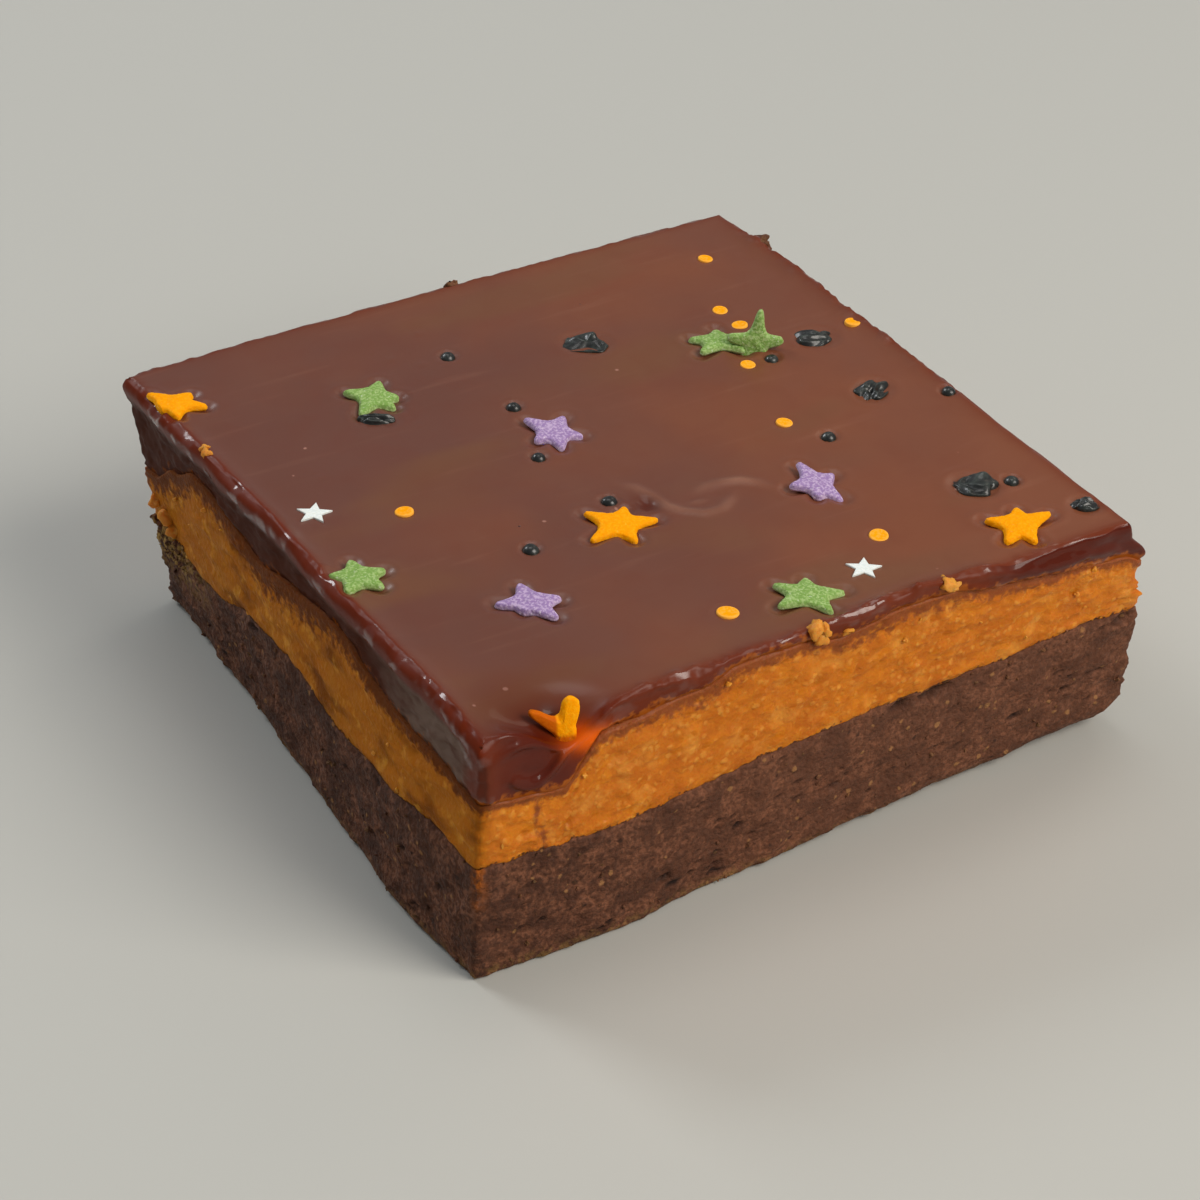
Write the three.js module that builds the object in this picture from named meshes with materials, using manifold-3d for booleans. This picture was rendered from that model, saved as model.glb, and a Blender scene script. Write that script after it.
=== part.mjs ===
import * as THREE from 'three';
import { mergeVertices } from 'three/addons/utils/BufferGeometryUtils.js';
import Module from 'manifold-3d';

// A square slice of layered chocolate brownie: a dense chocolate base, a soft caramel filling
// and a smooth chocolate topping with small sugar shapes set into it.
// Millimetres, +Z up, standing on its base. The sides are called left (-X), front (-Y),
// right (+X) and back (+Y). The right side is the edge of the baking tray, the others are cut.

const wasm = await Module();
wasm.setup();

const { lerp, smoothstep, clamp, degToRad } = THREE.MathUtils;
const fullTurn = 360; // degrees
const starArms = 5;

// Driving sizes
const side = 80; // edge of the square at the rim of the topping
const half = side / 2;
const topHeight = 29.5; // level surface of the topping above the table
const layerGap = 0.3; // clearance between two layers
const boxShift = new THREE.Vector2(-1.3, 0.2); // brings the middle of the whole box to the origin

// Seams between the layers as they show on the four sides: [place along the side, height].
// "inside" is the level that each seam settles to away from the sides.
const baseSeam = {
  inside: 13.5,
  front: [[-40, 13.9], [-24, 13.7], [-15, 14.3], [-5, 15.2], [5, 15.8], [20, 15.8], [30, 16.9], [40, 16.5]],
  left: [[-40, 13.9], [-30, 14.0], [-20, 13.0], [-9, 12.6], [0, 13.8], [10, 13.6], [25, 10.2], [40, 10.0]],
  right: [[-40, 16.5], [-15, 15.5], [10, 14.5], [40, 15.0]],
  back: [[-40, 10.0], [-15, 12.5], [10, 13.5], [40, 15.0]],
};
const fillingSeam = {
  inside: 24.5,
  front: [[-40, 21.5], [-35, 21.0], [-31, 20.5], [-26, 25.5], [-15, 26.5], [-10, 28.0], [-2, 28.0],
    [2, 27.0], [10, 28.0], [17, 28.0], [21, 26.5], [30, 25.5], [37, 24.5], [40, 23.0]],
  left: [[-40, 21.5], [-30, 22.5], [-20, 23.0], [-10, 25.2], [1, 24.0], [9, 22.5], [16, 24.0],
    [24, 24.8], [30, 22.0], [37, 18.0], [40, 17.5]],
  right: [[-40, 23.0], [-20, 25.0], [5, 26.5], [25, 24.5], [40, 25.0]],
  back: [[-40, 17.5], [-30, 22.0], [-10, 25.0], [15, 24.0], [40, 25.0]],
};
const seamFade = 12; // distance from a side over which a seam settles

// How far the foot of each side stands out from the rim above it, along the side
const footReach = {
  front: [[-40, 0.0], [-25, 0.5], [-10, -1.0], [10, -2.0], [20, -2.6], [40, -3.0]],
  left: [[-40, 0.5], [-25, 1.4], [-10, 0.2], [5, -1.0], [20, -2.2], [40, -3.2]],
  right: [[-40, 3.8], [0, 3.0], [40, 2.2]],
  back: [[-40, -3.4], [0, -1.5], [40, -1.0]],
};
const flareDrop = 0.45; // share of the height in which the tray side reaches its full width

// Soft lobe of topping that hangs out over the tray side at its front corner
const lobe = { place: -40, z: 24.5, reach: 1.8, length: 6, height: 2.2 };

// Radius of the rounded bottom edge along each side
const footRadius = {
  front: [[-40, 0.6], [-10, 0.8], [20, 2.5], [40, 4.0]],
  left: [[-40, 0.6], [40, 1.2]],
  right: [[-40, 5.0], [40, 5.0]],
  back: [[-40, 1.2], [10, 1.5], [40, 4.0]],
};

// Rise of the bead along the rim of the topping, and the bead's width
const rimRise = {
  front: [[-40, -0.2], [-36, 0.5], [-26, 0.0], [-3, 0.2], [7, 0.8], [12, 1.1], [19, 0.7], [25, 0.0], [40, 0.0]],
  left: [[-40, 0.2], [-31, 1.0], [-10, 0.8], [4, 1.3], [20, 0.8], [33, 0.2], [40, 0.0]],
  right: [[-40, 0.0], [-15, 0.2], [0, 0.6], [30, 0.7], [40, 0.0]],
  back: [[-40, 0.0], [-20, 0.2], [0, 0.3], [40, 0.0]],
};
const beadWidth = 1.8;
const rimDrop = 0.35; // the rim's outermost line lies this far below the bead

// Dip at the front corner where one sugar star stands in the edge
const pocket = { x: -30.5, y: -40.5, depth: 3.6, radius: 4.3 };

// Shallow bowed fold in the topping's surface where the spatula left it
const fold = { from: [-3, -7], to: [7, -14.5], bow: 4.2, rise: 0.35, width: 1.6 };

// Side relief: crumb on the base, grit on the filling and along the seams, waves on the topping
const crumbRelief = { depth: 0.5, grain: 2.1 };
const gritRelief = { depth: 0.3, grain: 2.4 };
const waveRelief = { depth: 0.35, grain: 5.0 };

// Facets: counts along one side for each ring, with the ring's distance from the rim
const rimRings = [[40, 0], [40, 0.8], [40, 2.2], [20, 5.5], [20, 9.5], [20, 14], [20, 18.5], [10, 24],
  [10, 31], [5, 36]];
const seamRings = [[40, 0], [40, 2.5], [20, 7], [10, 15], [5, 26]];
const baseRows = [0, 0.06, 0.16, 0.3, 0.48, 0.66, 0.84, 1];
const fillingRows = [0, 0.2, 0.4, 0.6, 0.8, 1];
const toppingRows = [0, 0.3, 0.6, 0.85, 1];

// Puffed sugar stars: each arm has its direction in degrees and its length
const puffyStar = { valley: 1.6, body: 0.9, bevel: 0.3, sink: 1.0 };
const greenStars = [
  { x: -17.9, y: 21.9, arms: [[-140, 3.9], [-73, 3.4], [-29, 2.7], [50, 3.1], [135, 3.3]] },
  { x: 22.7, y: 13.3, arms: [[-161, 3.7], [-73, 3.2], [-3, 2.8], [72, 3.0], [140, 3.6]] },
  { x: -36.6, y: -8.9, arms: [[-139, 2.9], [-62, 3.0], [-3, 3.0], [75, 3.0], [146, 2.8]] },
  { x: 1.9, y: -34.4, arms: [[-174, 3.8], [-82, 3.7], [-16, 4.0], [60, 2.9], [122, 3.8]] },
];
const orangeStars = [
  { x: -8.1, y: -13.8, arms: [[-167, 4.2], [-93, 3.5], [-13, 4.3], [52, 3.1], [118, 4.0]] },
  { x: 28.6, y: -34.7, arms: [[-152, 3.3], [-95, 3.2], [4, 4.1], [62, 3.0], [131, 3.6]] },
  { x: -37.9, y: 31.3, arms: [[-106, 2.8], [-36, 3.6], [19, 2.7], [114, 3.6], [178, 2.4]] },
];
const purpleStars = [
  { x: -4.3, y: 5.8, arms: [[-163, 2.9], [-104, 3.6], [-40, 3.4], [39, 3.3], [113, 3.8]] },
  { x: 14.7, y: -17.6, arms: [[-124, 2.8], [-76, 3.6], [20, 2.7], [87, 4.1], [165, 3.0]] },
  { x: -23.5, y: -21.7, arms: [[-150, 2.5], [-73, 3.7], [-15, 3.1], [80, 3.4], [150, 3.5]] },
];
const uprightStars = [
  { x: 25.3, y: 10.2, z: 30.3, turn: -30, lean: 12,
    arms: [[-8, 3.9], [74, 3.2], [142, 2.4], [-150, 2.4], [-84, 3.0]] },
  { x: -29.3, y: -38.8, z: 26.3, turn: -16, lean: 6,
    arms: [[-4, 4.1], [64, 4.3], [130, 3.0], [-150, 3.0], [-80, 2.2]] },
];

// Flat sugar stars: place and turn of one arm in degrees
const flatStar = { radius: 2.0, valley: 0.85, body: 0.8, bevel: 0, sink: 0.6 };
const whiteStars = [[-34.7, 4.2, -16], [9.9, -33.1, -17]];

const discs = [[32, 31], [26.7, 19.7], [26.8, 15.7], [22.6, 7.7], [19.1, -4.8], [-26.2, -0.1],
  [15, -28.6], [-6.8, -32.8], [38.4, 9.5]];
const disc = { radius: 1.0, height: 0.9, sink: 0.75, sides: 10 };
const beads = [[-6.1, 26], [-5.2, 12.8], [-8.2, 2.4], [-6.2, -8.9], [-18.2, -12.8], [21.8, -9.5],
  [33.9, -26.8], [25.8, 7.6], [39.3, -8.4]];
const bead = { radius: 0.9, sink: 1.3, turn: 40 };

// Crumpled black drops: half of the length and of the width, and the turn of the length in degrees
const drops = [
  { x: 9.2, y: 20.8, length: 2.5, width: 2.0, turn: -40 },
  { x: 32.9, y: 8.9, length: 2.2, width: 1.7, turn: -20 },
  { x: 31.8, y: -3.9, length: 2.2, width: 1.6, turn: 30 },
  { x: 29.8, y: -25.6, length: 2.5, width: 2.0, turn: -38 },
  { x: 37.9, y: -34.7, length: 1.4, width: 1.2, turn: -10 },
  { x: -19.9, y: 17.7, length: 2.0, width: 0.75, turn: -33 },
];
const drop = { height: 0.7, sink: 0.9, dent: 0.18, grain: 0.8, shift: 7 };

// Space that the sugar stars are trimmed to: above a floor and within the rim
const starSpace = { floor: 24, rimInset: 0.3, frontReach: 1 };

// Value on a side at a place, eased between its listed points
function along(points, place) {
  const at = Math.min(place, points.at(-1)[0]);
  const next = Math.max(1, points.findIndex(([listed]) => listed >= at));
  const [[from, first], [to, last]] = [points[next - 1], points[next]];
  return lerp(first, last, smoothstep(at, from, to));
}

// Surface through the four side curves, settling to its inside level
function seamHeight(seam, u, v) {
  const s = (u + half) / side;
  const t = (v + half) / side;
  const across = lerp(along(seam.left, v), along(seam.right, v), s);
  const deep = lerp(along(seam.front, u), along(seam.back, u), t);
  const frontCorners = lerp(seam.front[0][1], seam.front.at(-1)[1], s);
  const backCorners = lerp(seam.back[0][1], seam.back.at(-1)[1], s);
  const patch = across + deep - lerp(frontCorners, backCorners, t);
  const inset = half - Math.max(Math.abs(u), Math.abs(v));
  return lerp(patch, seam.inside, smoothstep(inset, 0, seamFade));
}

// Bell-shaped rise around zero
function bell(distance, width) {
  return Math.exp(-((distance / width) ** 2));
}

// Height of the fold, which follows a bowed line and fades towards its ends
function foldRise(u, v) {
  const [ax, ay] = fold.from;
  const [bx, by] = fold.to;
  const length = Math.hypot(bx - ax, by - ay);
  const place = ((u - ax) * (bx - ax) + (v - ay) * (by - ay)) / length ** 2;
  const offset = ((u - ax) * (by - ay) - (v - ay) * (bx - ax)) / length;
  const bow = fold.bow * Math.sin(Math.PI * place);
  return fold.rise * bell(offset - bow, fold.width) * bell(place - 0.5, 0.5);
}

// Top surface of the topping: level, with the rim's bead, the fold and the corner's dip
function toppingHeight(u, v) {
  const beadRise =
    along(rimRise.left, v) * bell(u + half, beadWidth) +
    along(rimRise.right, v) * bell(half - u, beadWidth) +
    along(rimRise.front, u) * bell(v + half, beadWidth) +
    along(rimRise.back, u) * bell(half - v, beadWidth);
  const dip = pocket.depth * bell(Math.hypot(u - pocket.x, v - pocket.y), pocket.radius);
  const onRim = Math.max(Math.abs(u), Math.abs(v)) === half;
  return topHeight + beadRise + foldRise(u, v) - dip - (onRim ? rimDrop : 0);
}

// Repeatable value from 0 to 1 at a whole-numbered point
function lattice(i, j, k) {
  const wave = Math.sin(i * 127.1 + j * 311.7 + k * 74.7) * 43758.5453;
  return wave - Math.floor(wave);
}

// Smooth seeded noise from -1 to 1
function noise(x, y, z) {
  const [i, j, k] = [Math.floor(x), Math.floor(y), Math.floor(z)];
  const [a, b, c] = [smoothstep(x - i, 0, 1), smoothstep(y - j, 0, 1), smoothstep(z - k, 0, 1)];
  const edgeX = (dj, dk) => lerp(lattice(i, j + dj, k + dk), lattice(i + 1, j + dj, k + dk), a);
  const faceY = (dk) => lerp(edgeX(0, dk), edgeX(1, dk), b);
  return 2 * lerp(faceY(0), faceY(1), c) - 1;
}

// How far the rounded bottom edge draws in at a height
function roundIn(radius, z) {
  const below = clamp(radius - z, 0, radius);
  return radius - Math.sqrt(radius ** 2 - below ** 2);
}

// Place of a point of the square at a height, with the leaning, flared and crumbly sides
function onSlice(u, v, z, relief) {
  const s = (u + half) / side;
  const t = (v + half) / side;
  const fall = clamp(1 - z / topHeight, 0, 1);
  const flare = smoothstep(fall, 0, flareDrop);
  const rough = relief.depth * noise(u / relief.grain, v / relief.grain, z / relief.grain);
  const out = {
    left: along(footReach.left, v) * fall - roundIn(along(footRadius.left, v), z) + rough,
    right: along(footReach.right, v) * flare - roundIn(along(footRadius.right, v), z) + rough +
      lobe.reach * bell(v - lobe.place, lobe.length) * bell(z - lobe.z, lobe.height),
    front: along(footReach.front, u) * fall - roundIn(along(footRadius.front, u), z) + rough,
    back: along(footReach.back, u) * fall - roundIn(along(footRadius.back, u), z) + rough,
  };
  return [u - out.left * (1 - s) + out.right * s, v - out.front * (1 - t) + out.back * t, z];
}

// Points of one ring of the square, counter-clockwise from the front left corner
function ringPoints(count, inset) {
  const reach = half - inset;
  const corners = [[-reach, -reach], [reach, -reach], [reach, reach], [-reach, reach]];
  return corners.flatMap((corner, c) => {
    const next = corners[(c + 1) % 4];
    return Array.from({ length: count }, (_, j) => [0, 1].map((n) => lerp(corner[n], next[n], j / count)));
  });
}

// Triangles between two rings with the same count, or the inner one with half of it
function stitchRings(outerStart, outerCount, innerStart, innerCount) {
  const outer = (j) => outerStart + (j % (4 * outerCount));
  const inner = (j) => innerStart + (j % (4 * innerCount));
  const triangles = [];
  for (let j = 0; j < 4 * innerCount; j++) {
    if (innerCount === outerCount) {
      triangles.push([outer(j), outer(j + 1), inner(j + 1)], [outer(j), inner(j + 1), inner(j)]);
    } else {
      triangles.push([outer(2 * j), outer(2 * j + 1), inner(j)]);
      triangles.push([outer(2 * j + 1), inner(j + 1), inner(j)]);
      triangles.push([outer(2 * j + 1), outer(2 * j + 2), inner(j + 1)]);
    }
  }
  return triangles;
}

// The whole square as rings that grow coarser towards the middle, facing up
function squareSheet(rings) {
  const points = [];
  const triangles = [];
  let outerStart = 0;
  rings.forEach(([count, inset], level) => {
    const start = points.length;
    points.push(...ringPoints(count, inset));
    if (level > 0) triangles.push(...stitchRings(outerStart, rings[level - 1][0], start, count));
    outerStart = start;
  });
  const centre = points.length;
  const lastCount = 4 * rings.at(-1)[0];
  points.push([0, 0]);
  for (let j = 0; j < lastCount; j++) {
    triangles.push([outerStart + j, outerStart + ((j + 1) % lastCount), centre]);
  }
  return { points, triangles };
}

// Closed layer between two height functions, with its side walls in rows
function layerGeometry({ floor, top, floorRings, topRings, rows, relief }) {
  const floorSheet = squareSheet(floorRings);
  const topSheet = squareSheet(topRings);
  const around = 4 * floorRings[0][0];
  const vertices = floorSheet.points.map(([u, v]) => onSlice(u, v, floor(u, v), gritRelief));
  const indices = floorSheet.triangles.flatMap(([a, b, c]) => [a, c, b]);
  const topStart = vertices.length;
  vertices.push(...topSheet.points.map(([u, v]) => onSlice(u, v, top(u, v), gritRelief)));
  indices.push(...topSheet.triangles.flat().map((index) => index + topStart));

  const rim = floorSheet.points.slice(0, around);
  const rowStarts = rows.map((share, row) => {
    if (row === 0) return 0;
    if (row === rows.length - 1) return topStart;
    const start = vertices.length;
    vertices.push(...rim.map(([u, v]) => onSlice(u, v, lerp(floor(u, v), top(u, v), share), relief)));
    return start;
  });
  for (let row = 1; row < rows.length; row++) {
    indices.push(...stitchRings(rowStarts[row - 1], around / 4, rowStarts[row], around / 4).flat());
  }
  const geometry = new THREE.BufferGeometry();
  geometry.setAttribute('position', new THREE.Float32BufferAttribute(vertices.flat(), 3));
  geometry.setIndex(indices);
  return geometry;
}

function baseGeometry() {
  return layerGeometry({
    floor: () => 0,
    top: (u, v) => seamHeight(baseSeam, u, v) - layerGap / 2,
    floorRings: seamRings,
    topRings: seamRings,
    rows: baseRows,
    relief: crumbRelief,
  });
}

function fillingGeometry() {
  return layerGeometry({
    floor: (u, v) => seamHeight(baseSeam, u, v) + layerGap / 2,
    top: (u, v) => seamHeight(fillingSeam, u, v) - layerGap / 2,
    floorRings: seamRings,
    topRings: seamRings,
    rows: fillingRows,
    relief: gritRelief,
  });
}

function plainToppingGeometry() {
  return layerGeometry({
    floor: (u, v) => seamHeight(fillingSeam, u, v) + layerGap / 2,
    top: toppingHeight,
    floorRings: seamRings,
    topRings: rimRings,
    rows: toppingRows,
    relief: waveRelief,
  });
}

// Arms of a regular star
function evenArms({ radius }, turn) {
  return Array.from({ length: starArms }, (_, arm) => [turn + (fullTurn * arm) / starArms, radius]);
}

// Outline of a star: the tip of each arm, and the valley halfway to the next one
function starOutline(arms, valley, bevel) {
  const inOrder = arms.toSorted(([first], [second]) => first - second);
  return inOrder.flatMap(([angle, length], arm) => {
    const [nextAngle] = inOrder[(arm + 1) % inOrder.length];
    const span = (nextAngle - angle + fullTurn) % fullTurn;
    return [[length, angle], [valley, angle + span / 2]].map(([reach, direction]) =>
      new THREE.Vector2(reach - bevel / 2, 0).rotateAround(new THREE.Vector2(), degToRad(direction)));
  });
}

// Star lying flat, its middle at the origin
function starGeometry(arms, { valley, body, bevel }) {
  const outline = new THREE.Shape(starOutline(arms, valley, bevel));
  const geometry = new THREE.ExtrudeGeometry(outline, {
    depth: body,
    bevelEnabled: bevel > 0,
    bevelThickness: bevel,
    bevelSize: bevel,
    bevelSegments: 1,
  });
  return geometry.translate(0, 0, -body / 2);
}

function discGeometry() {
  return new THREE.CylinderGeometry(disc.radius, disc.radius, disc.height, disc.sides).rotateX(Math.PI / 2);
}

function beadGeometry() {
  return new THREE.IcosahedronGeometry(bead.radius, 0);
}

// Flattened drop with a few dents
function dropGeometry({ length, width }) {
  const geometry = new THREE.IcosahedronGeometry(1, 1).scale(length, width, drop.height);
  const position = geometry.getAttribute('position');
  const point = new THREE.Vector3();
  for (let n = 0; n < position.count; n++) {
    point.fromBufferAttribute(position, n);
    const [x, y, z] = point.toArray().map((place) => place / drop.grain + drop.shift);
    point.multiplyScalar(1 + drop.dent * noise(x, y, z));
    position.setXYZ(n, ...point);
  }
  return geometry;
}

// Turns a shape, moves it to its place and lets its underside sink into the topping
function placeOnTop(geometry, x, y, turn, sink) {
  geometry.computeBoundingBox();
  const underside = geometry.boundingBox.min.z;
  return geometry.rotateZ(degToRad(turn)).translate(x, y, toppingHeight(x, y) - sink - underside);
}

// Star standing on edge with one arm up, turned about the vertical and leaning back
function uprightStar({ x, y, z, turn, lean, arms }) {
  return starGeometry(arms, puffyStar)
    .rotateZ(Math.PI / 2)
    .rotateX(Math.PI / 2 - degToRad(lean))
    .rotateZ(degToRad(turn))
    .translate(x, y, z);
}

function toSolid(geometry) {
  geometry.deleteAttribute('normal');
  geometry.deleteAttribute('uv');
  const merged = mergeVertices(geometry);
  return new wasm.Manifold(new wasm.Mesh({
    numProp: 3,
    vertProperties: new Float32Array(merged.getAttribute('position').array),
    triVerts: new Uint32Array(merged.getIndex().array),
  }));
}

function toGeometry(solid) {
  const { vertProperties, triVerts } = solid.getMesh();
  const geometry = new THREE.BufferGeometry();
  geometry.setAttribute('position', new THREE.BufferAttribute(vertProperties, 3));
  geometry.setIndex(new THREE.BufferAttribute(triVerts, 1));
  return geometry;
}

// All sugar shapes, the stars trimmed to the slice
function sugarSolids() {
  const { floor, rimInset, frontReach } = starSpace;
  const trim = toSolid(new THREE.BoxGeometry(side - 2 * rimInset, side + 2 * frontReach, side)
    .translate(0, 0, floor + half));
  const puffy = [...greenStars, ...orangeStars, ...purpleStars].map(({ x, y, arms }) =>
    placeOnTop(starGeometry(arms, puffyStar), x, y, 0, puffyStar.sink));
  const flat = whiteStars.map(([x, y, turn]) =>
    placeOnTop(starGeometry(evenArms(flatStar, turn), flatStar), x, y, 0, flatStar.sink));
  const upright = uprightStars.map(uprightStar);
  const stars = [...puffy, ...flat, ...upright].map((star) => toSolid(star).intersect(trim));
  const small = [
    ...discs.map(([x, y]) => placeOnTop(discGeometry(), x, y, 0, disc.sink)),
    ...beads.map(([x, y], n) => placeOnTop(beadGeometry(), x, y, bead.turn * n, bead.sink)),
    ...drops.map((one) => placeOnTop(dropGeometry(one), one.x, one.y, one.turn, drop.sink)),
  ].map(toSolid);
  return [...stars, ...small];
}

function toppingGeometry() {
  return toGeometry(sugarSolids().reduce((whole, piece) => whole.add(piece), toSolid(plainToppingGeometry())));
}

const baseMaterial = new THREE.MeshStandardMaterial({ color: 0x402c22, roughness: 0.9, metalness: 0 });
const fillingMaterial = new THREE.MeshStandardMaterial({ color: 0xb5691c, roughness: 0.7, metalness: 0 });
const toppingMaterial = new THREE.MeshStandardMaterial({ color: 0x6b3a2b, roughness: 0.3, metalness: 0 });

function layer(name, geometry, material) {
  const mesh = new THREE.Mesh(geometry, material);
  mesh.name = name;
  return mesh;
}

const brownie = new THREE.Group();
brownie.position.set(boxShift.x, boxShift.y, 0);
brownie.add(
  layer('brownie_base', baseGeometry(), baseMaterial),
  layer('caramel_filling', fillingGeometry(), fillingMaterial),
  layer('chocolate_topping', toppingGeometry(), toppingMaterial),
);

export default brownie;
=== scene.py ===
"""Looks of a square slice of layered chocolate brownie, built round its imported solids.

The slice has a dense chocolate base, a soft grainy caramel filling and a smooth chocolate
topping with small sugar shapes set into it. Each layer repeats the form of its solid with a
much finer surface. Sizes are in millimetres in the slice's own square, whose sides are called
left (-X), front (-Y), right (+X) and back (+Y). A finished piece is brought to metres.
"""

from __future__ import annotations

import logging
import math
from dataclasses import dataclass, field
from enum import Enum
from itertools import product
from typing import Callable, ClassVar, Iterable, Sequence

import bpy
import numpy as np
from mathutils import Matrix, Vector

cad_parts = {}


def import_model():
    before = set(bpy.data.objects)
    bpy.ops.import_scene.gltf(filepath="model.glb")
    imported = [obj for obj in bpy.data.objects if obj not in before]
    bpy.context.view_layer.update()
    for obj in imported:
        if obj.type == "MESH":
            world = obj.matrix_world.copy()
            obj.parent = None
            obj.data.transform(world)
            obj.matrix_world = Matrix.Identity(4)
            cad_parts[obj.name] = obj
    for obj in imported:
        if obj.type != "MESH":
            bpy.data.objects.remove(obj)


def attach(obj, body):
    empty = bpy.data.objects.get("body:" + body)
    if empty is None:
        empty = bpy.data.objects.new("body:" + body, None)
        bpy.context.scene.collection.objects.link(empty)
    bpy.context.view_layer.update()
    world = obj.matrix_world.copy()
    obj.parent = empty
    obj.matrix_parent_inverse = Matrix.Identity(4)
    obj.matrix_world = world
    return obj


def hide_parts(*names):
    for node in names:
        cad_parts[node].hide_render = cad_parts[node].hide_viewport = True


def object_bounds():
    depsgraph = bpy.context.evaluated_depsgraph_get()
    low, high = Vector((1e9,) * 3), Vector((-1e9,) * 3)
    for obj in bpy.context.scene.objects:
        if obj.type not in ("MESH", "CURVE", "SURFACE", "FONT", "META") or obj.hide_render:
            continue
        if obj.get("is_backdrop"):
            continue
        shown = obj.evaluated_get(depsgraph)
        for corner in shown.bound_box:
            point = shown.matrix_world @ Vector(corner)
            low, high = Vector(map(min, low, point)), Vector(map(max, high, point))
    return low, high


log = logging.getLogger("brownie")

MM = 0.001
BODY = "root"
BOX_SHIFT = (-1.3, 0.2, 0.0)
WALL = 0.01  # spots closer than this to a side lie on it
CLOSING_INSETS = (1.2, 4.0, 10.0, 20.0)
TINY = 1e-9

Socket = bpy.types.NodeSocket
Points = tuple[tuple[float, float], ...]
Arms = Points
Triple = tuple[float, float, float]
Places = tuple[Triple, ...]
Colour = tuple[float, float, float, float]
Box = tuple[Vector, Vector]


def smooth(value: np.ndarray, low: float, high: float) -> np.ndarray:
    """Returns values eased from 0 at low to 1 at high."""
    t = np.clip((value - low) / (high - low), 0, 1)
    return t * t * (3 - 2 * t)


def bell(distance: np.ndarray, width: float | np.ndarray) -> np.ndarray:
    """Returns a rise of 1 at distance 0 that fades over the width."""
    return np.exp(-((distance / width) ** 2))


def mix(first: np.ndarray, second: np.ndarray, share: np.ndarray) -> np.ndarray:
    """Returns the value between first and second at a share."""
    return first + (second - first) * share


@dataclass(frozen=True)
class Profile:
    """A value along one side, eased between its listed points."""

    points: Points

    def at(self, place: np.ndarray) -> np.ndarray:
        """Reads the value at places along the side.

        Args:
            place: Places along the side.

        Returns:
            The values there.
        """
        places, values = np.array(self.points, float).T
        inside = np.clip(place, places[0], places[-1])
        after = np.clip(np.searchsorted(places, inside), 1, len(places) - 1)
        start, end = places[after - 1], places[after]
        t = (inside - start) / (end - start)
        return mix(values[after - 1], values[after], t * t * (3 - 2 * t))


@dataclass(frozen=True)
class FourSides:
    """One profile for each side of the slice."""

    left: Profile
    front: Profile
    right: Profile
    back: Profile


@dataclass(frozen=True)
class Seam:
    """Height of a seam between two layers: along the four sides, and inside the slice."""

    sides: FourSides
    inside: float


def profile(*points: tuple[float, float]) -> Profile:
    """Returns a profile through its points."""
    return Profile(tuple(points))


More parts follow.
